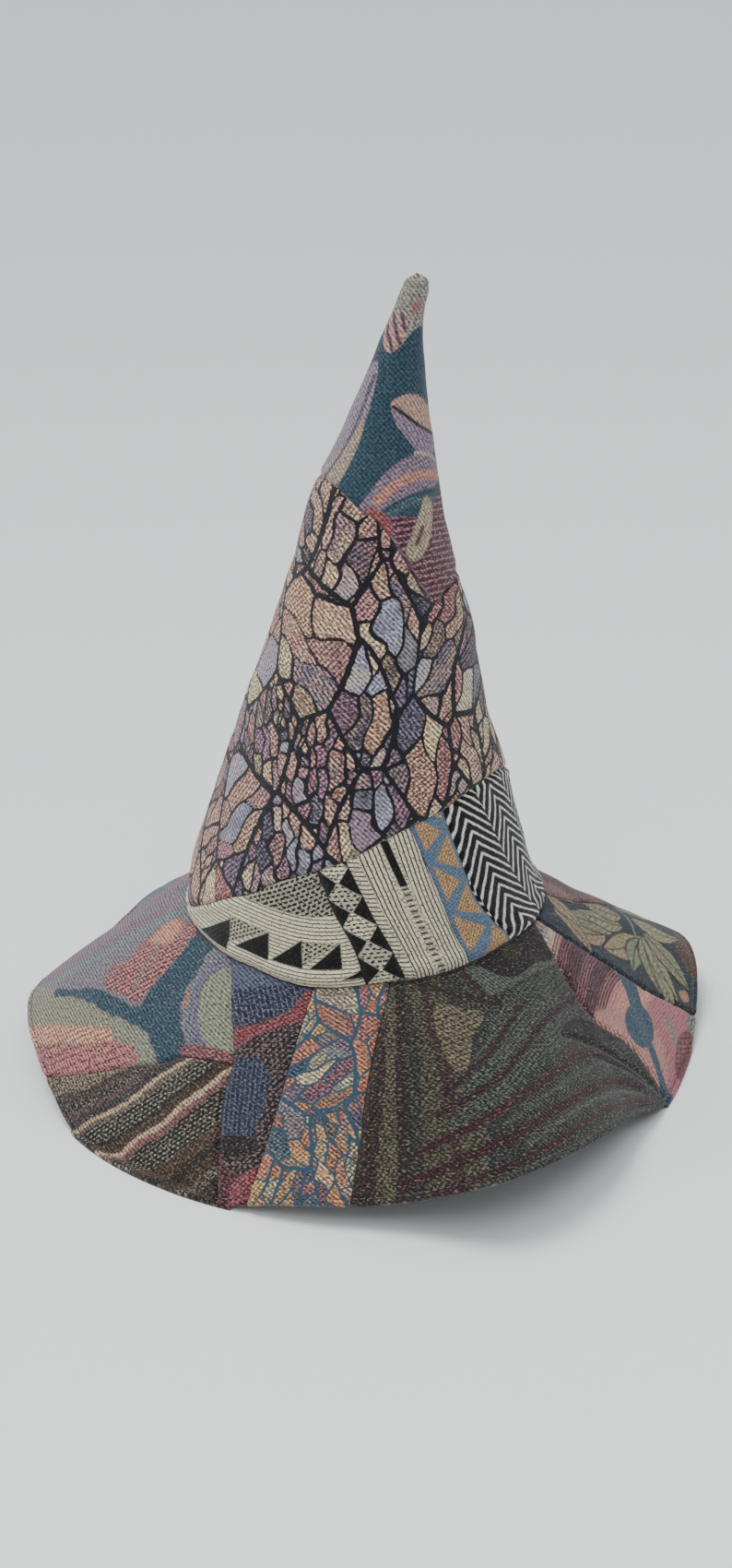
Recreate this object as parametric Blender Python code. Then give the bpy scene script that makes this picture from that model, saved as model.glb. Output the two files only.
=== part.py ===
"""Pointed patchwork hat, resting on its brim.

Metres, +Z up, front at -Y, with the origin on the floor under the middle of the brim.
Angles run from the front towards +X, in degrees. Heights up the crown and reaches out
along the brim are shares: 0 at the seam where crown and brim meet, 1 at the tip or rim.
"""

import bmesh
import bpy
import numpy as np

# Cloth
WALL = 0.003
SEAM_GAP = 0.0003

# Crown
HEAD_RADIUS = 0.098
CROWN_HEIGHT = 0.336
TIP_LEAN = 0.024
DENT_DEPTH = 0.002
BAND_HEIGHT = 0.087

# Brim
SEAM_HEIGHT = 0.083
SEAM_RISE = 0.008
BRIM_REACH = 0.090
BRIM_DROP = 0.088
BRIM_ARCH = 0.16
ROOT_WIDTH = 0.0036

# Facets
RING_STEPS = 52
PATCH_STEP_DEG = 5.5
SHADE_ANGLE_DEG = 40.0

# Crown sections: height share, radius share of HEAD_RADIUS, sideways share of TIP_LEAN
SECTIONS = (
    (0.00, 1.000, 0.00),
    (0.06, 0.950, -0.12),
    (0.14, 0.870, -0.10),
    (0.22, 0.790, -0.05),
    (0.35, 0.653, -0.02),
    (0.47, 0.533, 0.10),
    (0.59, 0.413, 0.15),
    (0.71, 0.303, 0.26),
    (0.765, 0.238, 0.40),
    (0.82, 0.183, 0.52),
    (0.875, 0.132, 0.64),
    (0.93, 0.088, 0.79),
    (0.955, 0.074, 0.89),
    (0.98, 0.063, 0.98),
    (0.993, 0.044, 1.00),
    (1.00, 0.000, 1.00),
)
TIP_ROWS = (0.955, 0.98, 0.993, 1.0)
HOLLOW_ROWS = (0.945, 0.955, 0.962, 0.968)
CONE_END = 0.93

# Soft dents in the crown: angle, height share, half width in degrees, half height share, depth share
DENTS = (
    (-55.0, 0.30, 34.0, 0.12, 0.6),
    (25.0, 0.40, 30.0, 0.10, 0.7),
    (95.0, 0.35, 26.0, 0.06, 0.5),
    (95.0, 0.47, 24.0, 0.05, -0.6),
    (-20.0, 0.55, 36.0, 0.09, -0.5),
    (60.0, 0.62, 30.0, 0.08, 0.5),
    (170.0, 0.30, 50.0, 0.16, 1.0),
    (-130.0, 0.50, 40.0, 0.14, 0.8),
)

# Seam of crown and brim: angle, share of SEAM_RISE
SEAM_LINE = (
    (-180.0, 0.00),
    (-120.0, 0.00),
    (-60.0, 0.10),
    (-38.0, 0.15),
    (-18.0, -0.20),
    (2.0, 0.35),
    (24.0, 0.60),
    (48.0, 1.00),
    (68.0, 0.75),
    (90.0, 0.20),
    (120.0, 0.00),
)

# Brim folds: angle, reach share of BRIM_REACH, drop share of BRIM_DROP, arch share of BRIM_ARCH
# A drop share over about 0.92 lies on the floor
FOLDS = (
    (-180.0, 0.97, 1.00, 0.3),
    (-155.0, 1.02, 0.82, 0.1),
    (-135.0, 0.99, 0.76, 0.0),
    (-118.0, 0.99, 0.92, 0.2),
    (-100.0, 1.02, 0.81, 0.6),
    (-85.0, 1.02, 0.69, 0.8),
    (-70.0, 0.99, 0.72, 0.9),
    (-52.0, 0.97, 0.95, 1.0),
    (-32.0, 0.93, 1.00, 1.0),
    (-14.0, 0.92, 0.84, 1.0),
    (4.0, 0.97, 0.75, 1.0),
    (18.0, 1.15, 0.55, 1.0),
    (32.0, 1.06, 0.57, 1.0),
    (44.0, 0.94, 0.68, 1.0),
    (52.0, 0.88, 0.78, 1.0),
    (60.0, 0.90, 0.89, 1.0),
    (74.0, 0.92, 0.95, 0.9),
    (90.0, 1.00, 0.84, 0.6),
    (104.0, 1.11, 0.68, 0.0),
    (118.0, 1.11, 0.77, -0.3),
    (134.0, 0.95, 0.90, -0.5),
    (156.0, 0.93, 0.96, 0.0),
)

# Top edge of the band: angle, share of BAND_HEIGHT
BAND_TOP = (
    (-180.0, 0.32),
    (-150.0, 0.16),
    (-120.0, 0.07),
    (-95.0, 0.05),
    (-78.0, 0.06),
    (-66.0, 0.17),
    (-52.0, 0.32),
    (-40.0, 0.43),
    (-30.0, 0.55),
    (-17.0, 0.66),
    (-6.0, 0.72),
    (12.0, 0.85),
    (32.0, 0.93),
    (54.0, 0.99),
    (75.0, 0.97),
    (91.0, 0.89),
    (115.0, 0.74),
    (150.0, 0.50),
)

# Lower edge of the tip piece: angle, height share of the crown
TIP_EDGE = (
    (-180.0, 0.660),
    (-130.0, 0.695),
    (-80.0, 0.710),
    (-40.0, 0.705),
    (-15.0, 0.683),
    (5.0, 0.660),
    (20.0, 0.620),
    (33.0, 0.570),
    (40.0, 0.545),
    (60.0, 0.551),
    (90.0, 0.558),
    (130.0, 0.600),
)

# Upright seams of the band: share of the band's height there, angle
BAND_SEAMS = {
    "left": ((0.0, -104.0), (0.5, -104.0), (1.0, -104.0)),
    "triangles": ((0.0, 0.0), (0.28, -2.0), (0.65, -9.5), (1.0, -16.5)),
    "checks": ((0.0, 12.0), (0.23, 9.5), (0.55, 3.0), (1.0, -6.0)),
    "stripes": ((0.0, 33.0), (0.45, 28.0), (1.0, 18.0)),
    "lattice": ((0.0, 51.0), (0.34, 42.0), (0.64, 37.0), (1.0, 32.0)),
    "right": ((0.0, 120.0), (0.5, 120.0), (1.0, 120.0)),
}

# Seams across the brim: reach share, angle
CORNER = (0.40, -30.0)
BRIM_SEAMS = {
    "left_upper": ((0.0, -46.0), (0.10, -40.0), (0.20, -36.0), (0.31, -32.0), CORNER),
    "left_lower": (CORNER, (0.43, -38.0), (0.52, -46.0), (0.64, -53.5), (0.81, -60.0), (1.0, -66.0)),
    "front_left": (CORNER, (0.57, -29.0), (0.76, -26.5), (1.0, -24.0)),
    "front": ((0.0, -16.0), (0.4, -17.0), (0.8, -18.0), (1.0, -19.0)),
    "front_right": ((0.0, 7.0), (0.28, 2.0), (0.49, 0.0), (0.71, -1.0), (1.0, -2.5)),
    "ridge": ((0.0, 67.0), (0.12, 63.0), (0.24, 59.5), (0.50, 57.5), (0.69, 63.0), (0.83, 64.0), (1.0, 64.0)),
    "right": ((0.0, 69.5), (0.13, 72.5), (0.29, 77.0), (0.64, 83.0), (0.85, 87.0), (1.0, 89.0)),
    "back_right": ((0.0, 92.0), (0.11, 96.0), (0.21, 99.5), (1.0, 124.0)),
    "back": ((0.0, 152.0), (0.5, 152.0), (1.0, 152.0)),
    "back_left": ((0.0, -150.0), (0.5, -150.0), (1.0, -150.0)),
}
BRIM_ROWS = (-1.0, 0.0, 0.08, 0.17, 0.26, 0.33, 0.40, 0.41, 0.43, 0.48, 0.56, 0.65, 0.74, 0.84, 0.94, 1.0)

# Colour and roughness of each piece
LOOKS = {
    "crown_tip": ((0.06, 0.14, 0.18), 0.9),
    "crown_body": ((0.38, 0.24, 0.24), 0.9),
    "band_triangles": ((0.42, 0.39, 0.30), 0.9),
    "band_checks": ((0.20, 0.19, 0.17), 0.9),
    "band_stripes": ((0.55, 0.50, 0.38), 0.9),
    "band_lattice": ((0.30, 0.22, 0.14), 0.9),
    "band_chevron": ((0.25, 0.25, 0.24), 0.9),
    "band_back": ((0.12, 0.11, 0.12), 0.95),
    "brim_blue_floral": ((0.14, 0.20, 0.22), 0.9),
    "brim_brown_stripe": ((0.15, 0.10, 0.08), 0.9),
    "brim_navy_red": ((0.08, 0.06, 0.09), 0.9),
    "brim_mosaic": ((0.42, 0.28, 0.18), 0.9),
    "brim_dark_leaf": ((0.07, 0.07, 0.06), 0.95),
    "brim_pink_teardrop": ((0.40, 0.18, 0.18), 0.9),
    "brim_foliage": ((0.25, 0.24, 0.16), 0.9),
    "brim_pink": ((0.30, 0.17, 0.17), 0.9),
    "brim_back": ((0.10, 0.09, 0.10), 0.95),
}


def smooth(rows, column, x, period=None):
    """Smooth curve through a table: cubic pieces whose slope at a row is that between its neighbours."""
    table = np.array([(row[0], row[column]) for row in rows])
    if period:
        table = np.vstack([table[-2:] - (period, 0), table, table[:2] + (period, 0)])
    at, value = table[:, 0], table[:, 1]
    slope = np.gradient(value, at)
    x = np.asarray(x, float)
    if period:
        x = (x + period / 2) % period - period / 2
    i = np.clip(np.searchsorted(at, x, "right") - 1, 0, len(at) - 2)
    step = at[i + 1] - at[i]
    t = np.clip((x - at[i]) / step, 0, 1)
    ease = t * t * (3 - 2 * t)
    start = t * (1 - t) ** 2 * slope[i] * step
    end = t * t * (t - 1) * slope[i + 1] * step
    return value[i] * (1 - ease) + value[i + 1] * ease + start + end


def seam_z(angle):
    """Height of the seam of crown and brim above the floor."""
    return SEAM_HEIGHT + SEAM_RISE * smooth(SEAM_LINE, 1, angle, 360)


def crown_point(angle, share, inset=0.0):
    """Crown surface: a leaning cone with a round end and soft dents, or its lining inset from it."""
    share = np.clip(share, 0, 1)
    radius = HEAD_RADIUS * smooth(SECTIONS, 1, share)
    for where, height, half_width, half_height, depth in DENTS:
        across = ((angle - where + 180) % 360 - 180) / half_width
        along = (share - height) / half_height
        radius = radius - DENT_DEPTH * depth * np.exp(-across * across - along * along)
    radius = np.maximum(radius - inset, 0)
    a = np.radians(angle)
    x = TIP_LEAN * smooth(SECTIONS, 2, share) + radius * np.sin(a)
    z = SEAM_HEIGHT + CROWN_HEIGHT * share + (seam_z(angle) - SEAM_HEIGHT) * (1 - share) ** 3
    return np.stack([x, -radius * np.cos(a), z], -1)


def brim_point(angle, share):
    """Top of the brim: it droops from the seam, waves up and down, and lies flat where it rests.

    From share 0 down to -1 it is the narrow level root under the crown's wall.
    """
    reach = BRIM_REACH * smooth(FOLDS, 1, angle, 360)
    low = seam_z(angle) - SEAM_GAP
    drop = low - SEAM_HEIGHT + BRIM_DROP * smooth(FOLDS, 2, angle, 360)
    out = np.clip(share, 0, 1)
    bow = BRIM_ARCH * smooth(FOLDS, 3, angle, 360) * out * (1 - out)
    radius = HEAD_RADIUS + reach * (out + bow) + np.minimum(share, 0) * ROOT_WIDTH
    z = np.maximum(low - drop * (out - bow), WALL)
    a = np.radians(angle)
    return np.stack([radius * np.sin(a), -radius * np.cos(a), z], -1)


def under_brim(angle, share):
    """Underside of the brim, one wall below its top and never below the floor."""
    turn, step = 0.5, 0.004
    across = brim_point(angle + turn, share) - brim_point(angle - turn, share)
    along = brim_point(angle, share + step) - brim_point(angle, share - step)
    down = np.cross(across, along)
    down = down / np.linalg.norm(down, axis=-1, keepdims=True)
    down = down * -np.sign(down[..., 2:])
    point = brim_point(angle, share) + WALL * down
    point[..., 2] = np.where(point[..., 2] < 0.25 * WALL, 0, point[..., 2])
    return point


def beside(rows, share, surface, side):
    """Angle of a seam moved aside by half the seam gap, measured square to the seam."""
    share = np.asarray(share, float)
    step = 0.004
    angle = smooth(rows, 1, share)
    ahead = surface(smooth(rows, 1, share + step), share + step)
    behind = surface(smooth(rows, 1, share - step), share - step)
    along = ahead - behind
    along = along / np.linalg.norm(along, axis=-1, keepdims=True)
    degree = surface(angle + 1, share) - surface(angle, share)
    square = degree - along * np.sum(degree * along, -1, keepdims=True)
    return angle + side * 0.5 * SEAM_GAP / np.linalg.norm(square, axis=-1)


def above(edge, angle, side):
    """Height share of a level seam moved up or down by half the seam gap, square to the seam."""
    share = edge(angle)
    rise = (edge(angle + 1) - edge(angle - 1)) * CROWN_HEIGHT
    run = np.linalg.norm(crown_point(angle + 1, share) - crown_point(angle - 1, share), axis=-1)
    return share + side * 0.5 * SEAM_GAP * np.hypot(rise, run) / run / CROWN_HEIGHT


def band_edge(angle):
    """Height share of the crown at the top of the band."""
    return BAND_HEIGHT / CROWN_HEIGHT * smooth(BAND_TOP, 1, angle, 360)


def tip_edge(angle):
    """Height share of the crown at the lower edge of the tip piece."""
    return smooth(TIP_EDGE, 1, angle, 360)


def sheet(columns, rows):
    """Closed flat slab of columns by rows cells, one cell thick, as a mesh to be shaped."""
    mesh = bmesh.new()
    bmesh.ops.create_grid(mesh, x_segments=columns, y_segments=rows, size=0.5)
    bmesh.ops.translate(mesh, verts=mesh.verts[:], vec=(0.5, 0.5, 0))
    copy = bmesh.ops.extrude_face_region(mesh, geom=mesh.faces[:])
    lower = [v for v in copy["geom"] if isinstance(v, bmesh.types.BMVert)]
    bmesh.ops.translate(mesh, verts=lower, vec=(0, 0, 1))
    return mesh


def finish(name, mesh, place):
    """Shape a slab with place(across, along, depth), close it and put it in the scene."""
    at = np.array([v.co for v in mesh.verts])
    shaped = place(at[:, 0], at[:, 1], at[:, 2])
    for vertex, co in zip(mesh.verts, shaped):
        vertex.co = co
    bmesh.ops.remove_doubles(mesh, verts=mesh.verts[:], dist=1e-5)
    bmesh.ops.recalc_face_normals(mesh, faces=mesh.faces[:])
    data = bpy.data.meshes.new(name)
    mesh.to_mesh(data)
    mesh.free()
    data.shade_smooth()
    data.set_sharp_from_angle(angle=np.radians(SHADE_ANGLE_DEG))
    piece = bpy.data.objects.new(name, data)
    collection.objects.link(piece)
    piece.parent = root
    colour, roughness = LOOKS[name]
    cloth = bpy.data.materials.new(name)
    cloth.use_nodes = True
    shader = cloth.node_tree.nodes["Principled BSDF"]
    shader.inputs["Base Color"].default_value = (*colour, 1)
    shader.inputs["Roughness"].default_value = roughness
    shader.inputs["Metallic"].default_value = 0
    data.materials.append(cloth)
    return piece


def open_faces(mesh, axis, ends):
    """Remove the slab's wall faces at the given ends of an axis, so that the piece joins up there."""
    walls = [f for f in mesh.faces if any(all(abs(v.co[axis] - end) < 1e-6 for v in f.verts) for end in ends)]
    bmesh.ops.delete(mesh, geom=walls, context="FACES")


def brim_patch(name, left, right, rows=BRIM_ROWS):
    """Patch of the brim between two seams, each a function of the reach share and the side."""
    rows = np.array(rows)
    width = float(np.max(right(rows[1:], 0) - left(rows[1:], 0)))
    mesh = sheet(max(2, int(np.ceil(width / PATCH_STEP_DEG))), len(rows) - 1)

    def place(across, along, depth):
        share = rows[np.rint(along * (len(rows) - 1)).astype(int)]
        start, end = left(share, 1), right(share, -1)
        start, end = np.where(start > end, (start + end) / 2, (start, end))
        angle = start + (end - start) * across
        return np.where(depth[:, None] < 0.5, brim_point(angle, share), under_brim(angle, share))

    return finish(name, mesh, place)


def brim_seam(name, around=0):
    """A seam across the brim, as a function of the reach share and the side."""
    return lambda share, side: beside(BRIM_SEAMS[name], share, brim_point, side) + around


def brim_corner(upper, lower):
    """Two seams that meet at the corner, one above it and one below."""
    first, second = brim_seam(upper), brim_seam(lower)
    return lambda share, side: np.where(share <= CORNER[0], first(share, side), second(share, side))


def band_patch(name, left, right, around=0, rows=4):
    """Patch of the band between two upright seams."""

    def seam(key, height, side, turn):
        def surface(angle, share):
            return crown_point(angle, share * band_edge(angle))

        return beside(BAND_SEAMS[key], height, surface, side) + turn

    width = seam(right, np.zeros(1), 0, around)[0] - seam(left, np.zeros(1), 0, 0)[0]
    mesh = sheet(int(np.ceil(width / PATCH_STEP_DEG)), rows)

    def place(across, along, depth):
        start, end = seam(left, along, 1, 0), seam(right, along, -1, around)
        angle = start + (end - start) * across
        share = along * above(band_edge, angle, -1)
        return crown_point(angle, share, WALL * depth)

    return finish(name, mesh, place)


def crown_ring(name, rows):
    """Closed ring between the band and the tip piece."""
    mesh = sheet(RING_STEPS, rows)
    open_faces(mesh, 0, (0, 1))

    def place(across, along, depth):
        angle = -180 + 360 * (across % 1)
        low, high = above(band_edge, angle, 1), above(tip_edge, angle, -1)
        return crown_point(angle, low + (high - low) * along, WALL * depth)

    return finish(name, mesh, place)


def crown_cap(name, rows):
    """Tip piece: a ring that closes in the round end, with its own small hollow."""
    count = rows + len(TIP_ROWS)
    mesh = sheet(RING_STEPS, count)
    open_faces(mesh, 0, (0, 1))
    open_faces(mesh, 1, (1,))
    outside, inside = np.array(TIP_ROWS), np.array(HOLLOW_ROWS)

    def place(across, along, depth):
        angle = -180 + 360 * (across % 1)
        row = np.rint(along * count).astype(int)
        low = above(tip_edge, angle, 1)
        cone = low + (CONE_END - low) * np.minimum(row / rows, 1)
        end = np.clip(row - rows - 1, 0, len(TIP_ROWS) - 1)
        over = row > rows
        share = np.where(over, np.where(depth > 0.5, inside[end], outside[end]), cone)
        closed = HEAD_RADIUS * depth * (row == count)
        return crown_point(angle, share, WALL * depth + closed)

    return finish(name, mesh, place)


for item in list(bpy.data.objects):
    bpy.data.objects.remove(item)
collection = bpy.data.collections.new("pointed_hat")
bpy.context.scene.collection.children.link(collection)
root = bpy.data.objects.new("hat_origin", None)
collection.objects.link(root)

crown_cap("crown_tip", 7)
crown_ring("crown_body", 10)

band_patch("band_triangles", "left", "triangles")
band_patch("band_checks", "triangles", "checks")
band_patch("band_stripes", "checks", "stripes")
band_patch("band_lattice", "stripes", "lattice")
band_patch("band_chevron", "lattice", "right")
band_patch("band_back", "right", "left", around=360)

corner_rows = (CORNER[0] + 0.0016,) + tuple(r for r in BRIM_ROWS if r > CORNER[0])
brim_patch("brim_blue_floral", brim_seam("back_left"), brim_corner("left_upper", "left_lower"))
brim_patch("brim_brown_stripe", brim_seam("left_lower"), brim_seam("front_left"), corner_rows)
brim_patch("brim_navy_red", brim_corner("left_upper", "front_left"), brim_seam("front"))
brim_patch("brim_mosaic", brim_seam("front"), brim_seam("front_right"))
brim_patch("brim_dark_leaf", brim_seam("front_right"), brim_seam("ridge"))
brim_patch("brim_pink_teardrop", brim_seam("ridge"), brim_seam("right"))
brim_patch("brim_foliage", brim_seam("right"), brim_seam("back_right"))
brim_patch("brim_pink", brim_seam("back_right"), brim_seam("back"))
brim_patch("brim_back", brim_seam("back"), brim_seam("back_left", 360))

corners = np.array([v.co for piece in collection.objects if piece.data for v in piece.data.vertices])
middle = (corners.min(axis=0) + corners.max(axis=0)) / 2
root.location = (-middle[0], -middle[1], 0)
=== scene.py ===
# %% [markdown]
# # A pointed patchwork hat
# A tall soft cone rises from a wide brim that droops to the table and waves as it goes.
# It is sewn from jacquard cloth: a crazy-paving crown, a tip with leaves, a band of black and
# cream weaves, and a brim of patches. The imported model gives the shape. Here each patch becomes
# a fine sheet of cloth whose design is woven into it, point by point, with plain numpy.

import bpy
import numpy as np
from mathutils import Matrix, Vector


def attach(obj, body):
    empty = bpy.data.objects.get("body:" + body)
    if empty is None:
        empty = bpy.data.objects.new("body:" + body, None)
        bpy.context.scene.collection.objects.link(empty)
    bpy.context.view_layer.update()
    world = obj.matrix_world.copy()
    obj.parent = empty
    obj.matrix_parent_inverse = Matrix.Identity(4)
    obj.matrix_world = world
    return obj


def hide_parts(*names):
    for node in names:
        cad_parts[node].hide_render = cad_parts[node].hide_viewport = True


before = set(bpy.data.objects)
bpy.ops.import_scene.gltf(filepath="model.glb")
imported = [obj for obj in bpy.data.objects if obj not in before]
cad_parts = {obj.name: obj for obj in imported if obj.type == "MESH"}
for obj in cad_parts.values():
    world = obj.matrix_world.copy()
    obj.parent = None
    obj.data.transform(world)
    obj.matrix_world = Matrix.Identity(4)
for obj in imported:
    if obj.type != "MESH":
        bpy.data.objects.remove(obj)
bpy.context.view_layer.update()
print("nodes in the packed model:", len(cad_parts))

# %% [markdown]
# ## The hat's own measures
# The cloth has to lie where the model says. So the same named sizes and short tables that shape
# the model are written here again, in metres, and every patch is worked out from them.
# Angles run in degrees from the front towards +X. Shares run from 0 at the seam of crown and
# brim to 1 at the tip or at the rim.

# %% Sizes
WALL = 0.003
SEAM_GAP = 0.0003
HEAD_RADIUS = 0.098
CROWN_HEIGHT = 0.336
TIP_LEAN = 0.024
DENT_DEPTH = 0.002
BAND_HEIGHT = 0.087
SEAM_HEIGHT = 0.083
SEAM_RISE = 0.008
BRIM_REACH = 0.090
BRIM_DROP = 0.088
BRIM_ARCH = 0.16
ROOT_WIDTH = 0.0036
MIDDLE = np.array([-0.00127, 0.00316, 0.0])

# %% Tables
# Crown: height share, radius share, sideways share
SECTIONS = (
    (0.00, 1.000, 0.00), (0.06, 0.950, -0.12), (0.14, 0.870, -0.10), (0.22, 0.790, -0.05),
    (0.35, 0.653, -0.02), (0.47, 0.533, 0.10), (0.59, 0.413, 0.15), (0.71, 0.303, 0.26),
    (0.765, 0.238, 0.40), (0.82, 0.183, 0.52), (0.875, 0.132, 0.64), (0.93, 0.088, 0.79),
    (0.955, 0.074, 0.89), (0.98, 0.063, 0.98), (0.993, 0.044, 1.00), (1.00, 0.000, 1.00),
)
# Dents: angle, height share, half width, half height share, depth share
DENTS = (
    (-55.0, 0.30, 34.0, 0.12, 0.6), (25.0, 0.40, 30.0, 0.10, 0.7), (95.0, 0.35, 26.0, 0.06, 0.5),
    (95.0, 0.47, 24.0, 0.05, -0.6), (-20.0, 0.55, 36.0, 0.09, -0.5), (60.0, 0.62, 30.0, 0.08, 0.5),
    (170.0, 0.30, 50.0, 0.16, 1.0), (-130.0, 0.50, 40.0, 0.14, 0.8),
)
# Seam of crown and brim: angle, share of SEAM_RISE
SEAM_LINE = (
    (-180.0, 0.00), (-120.0, 0.00), (-60.0, 0.10), (-38.0, 0.15), (-18.0, -0.20), (2.0, 0.35),
    (24.0, 0.60), (48.0, 1.00), (68.0, 0.75), (90.0, 0.20), (120.0, 0.00),
)
# Brim: angle, reach share, drop share, arch share
FOLDS = (
    (-180.0, 0.97, 1.00, 0.3), (-155.0, 1.02, 0.82, 0.1), (-135.0, 0.99, 0.76, 0.0),
    (-118.0, 0.99, 0.92, 0.2), (-100.0, 1.02, 0.81, 0.6), (-85.0, 1.02, 0.69, 0.8),
    (-70.0, 0.99, 0.72, 0.9), (-52.0, 0.97, 0.95, 1.0), (-32.0, 0.93, 1.00, 1.0),
    (-14.0, 0.92, 0.84, 1.0), (4.0, 0.97, 0.75, 1.0), (18.0, 1.15, 0.55, 1.0),
    (32.0, 1.06, 0.57, 1.0), (44.0, 0.94, 0.68, 1.0), (52.0, 0.88, 0.78, 1.0),
    (60.0, 0.90, 0.89, 1.0), (74.0, 0.92, 0.95, 0.9), (90.0, 1.00, 0.84, 0.6),
    (104.0, 1.11, 0.68, 0.0), (118.0, 1.11, 0.77, -0.3), (134.0, 0.95, 0.90, -0.5),
    (156.0, 0.93, 0.96, 0.0),
)
# Top of the band: angle, share of BAND_HEIGHT
BAND_TOP = (
    (-180.0, 0.32), (-150.0, 0.16), (-120.0, 0.07), (-95.0, 0.05), (-78.0, 0.06), (-66.0, 0.17),
    (-52.0, 0.32), (-40.0, 0.43), (-30.0, 0.55), (-17.0, 0.66), (-6.0, 0.72), (12.0, 0.85),
    (32.0, 0.93), (54.0, 0.99), (75.0, 0.97), (91.0, 0.89), (115.0, 0.74), (150.0, 0.50),
)
# Lower edge of the tip piece: angle, height share
TIP_EDGE = (
    (-180.0, 0.660), (-130.0, 0.695), (-80.0, 0.710), (-40.0, 0.705), (-15.0, 0.683),
    (5.0, 0.660), (20.0, 0.620), (33.0, 0.570), (40.0, 0.545), (60.0, 0.551), (90.0, 0.558),
    (130.0, 0.600),
)
# Upright seams of the band: share of the band's height, angle
BAND_SEAMS = {
    "left": ((0.0, -104.0), (0.5, -104.0), (1.0, -104.0)),
    "triangles": ((0.0, 0.0), (0.28, -2.0), (0.65, -9.5), (1.0, -16.5)),
    "checks": ((0.0, 12.0), (0.23, 9.5), (0.55, 3.0), (1.0, -6.0)),
    "stripes": ((0.0, 33.0), (0.45, 28.0), (1.0, 18.0)),
    "lattice": ((0.0, 51.0), (0.34, 42.0), (0.64, 37.0), (1.0, 32.0)),
    "right": ((0.0, 120.0), (0.5, 120.0), (1.0, 120.0)),
    "left_again": ((0.0, 256.0), (0.5, 256.0), (1.0, 256.0)),
}
# Seams across the brim: reach share, angle
CORNER = (0.40, -30.0)
BRIM_SEAMS = {
    "left_upper": ((0.0, -46.0), (0.10, -40.0), (0.20, -36.0), (0.31, -32.0), CORNER),
    "left_lower": (CORNER, (0.43, -38.0), (0.52, -46.0), (0.64, -53.5), (0.81, -60.0),
                   (1.0, -66.0)),
    "front_left": (CORNER, (0.57, -29.0), (0.76, -26.5), (1.0, -24.0)),
    "front": ((0.0, -16.0), (0.4, -17.0), (0.8, -18.0), (1.0, -19.0)),
    "front_right": ((0.0, 7.0), (0.28, 2.0), (0.49, 0.0), (0.71, -1.0), (1.0, -2.5)),
    "ridge": ((0.0, 67.0), (0.12, 63.0), (0.24, 59.5), (0.50, 57.5), (0.69, 63.0), (0.83, 64.0),
              (1.0, 64.0)),
    "right": ((0.0, 69.5), (0.13, 72.5), (0.29, 77.0), (0.64, 83.0), (0.85, 87.0), (1.0, 89.0)),
    "back_right": ((0.0, 92.0), (0.11, 96.0), (0.21, 99.5), (1.0, 124.0)),
    "back": ((0.0, 152.0), (0.5, 152.0), (1.0, 152.0)),
    "back_left": ((0.0, -150.0), (0.5, -150.0), (1.0, -150.0)),
    "back_left_again": ((0.0, 210.0), (0.5, 210.0), (1.0, 210.0)),
}


def smooth(rows, column, x, period=None):
    """Curve through a table: cubic pieces whose slope at a row is that between its neighbours."""
    table = np.array([(row[0], row[column]) for row in rows])
    if period:
        table = np.vstack([table[-2:] - (period, 0), table, table[:2] + (period, 0)])
    at, value = table[:, 0], table[:, 1]
    slope = np.gradient(value, at)
    x = np.asarray(x, float)
    if period:
        x = (x + period / 2) % period - period / 2
    i = np.clip(np.searchsorted(at, x, "right") - 1, 0, len(at) - 2)
    step = at[i + 1] - at[i]
    t = np.clip((x - at[i]) / step, 0, 1)
    ease = t * t * (3 - 2 * t)
    start = t * (1 - t) ** 2 * slope[i] * step
    end = t * t * (t - 1) * slope[i + 1] * step
    return value[i] * (1 - ease) + value[i + 1] * ease + start + end


def seam_z(angle):
    """Height of the seam: SEAM_HEIGHT plus a share of SEAM_RISE."""
    return SEAM_HEIGHT + SEAM_RISE * smooth(SEAM_LINE, 1, angle, 360)


def crown_point(angle, share, inset=0.0):
    """Crown: a circle of the table's radius, less the dents, moved by the table's lean."""
    share = np.clip(share, 0, 1)
    radius = HEAD_RADIUS * smooth(SECTIONS, 1, share)
    for where, height, half_width, half_height, depth in DENTS:
        across = ((angle - where + 180) % 360 - 180) / half_width
        along = (share - height) / half_height
        radius = radius - DENT_DEPTH * depth * np.exp(-across * across - along * along)
    radius = np.maximum(radius - inset, 0)
    a = np.radians(angle)
    x = TIP_LEAN * smooth(SECTIONS, 2, share) + radius * np.sin(a)
    z = SEAM_HEIGHT + CROWN_HEIGHT * share + (seam_z(angle) - SEAM_HEIGHT) * (1 - share) ** 3
    return MIDDLE + np.stack([x, -radius * np.cos(a), z], -1)


def brim_point(angle, share):
    """Brim: a straight line from seam to rim with a parabola's bow, never under one wall high."""
    reach = BRIM_REACH * smooth(FOLDS, 1, angle, 360)
    low = seam_z(angle) - SEAM_GAP
    drop = low - SEAM_HEIGHT + BRIM_DROP * smooth(FOLDS, 2, angle, 360)
    out = np.clip(share, 0, 1)
    bow = BRIM_ARCH * smooth(FOLDS, 3, angle, 360) * out * (1 - out)
    radius = HEAD_RADIUS + reach * (out + bow) + np.minimum(share, 0) * ROOT_WIDTH
    z = np.maximum(low - drop * (out - bow), WALL)
    a = np.radians(angle)
    return MIDDLE + np.stack([radius * np.sin(a), -radius * np.cos(a), z], -1)


def band_edge(angle):
    """Height share of the crown at the top of the band."""
    return BAND_HEIGHT / CROWN_HEIGHT * smooth(BAND_TOP, 1, angle, 360)


def tip_edge(angle):
    """Height share of the crown at the lower edge of the tip piece."""
    return smooth(TIP_EDGE, 1, angle, 360)


for label, place in (("tip", crown_point(0.0, 1.0)), ("front rim", brim_point(0.0, 1.0))):
    print(label, "at", np.round(1000 * place), "mm")

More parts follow.
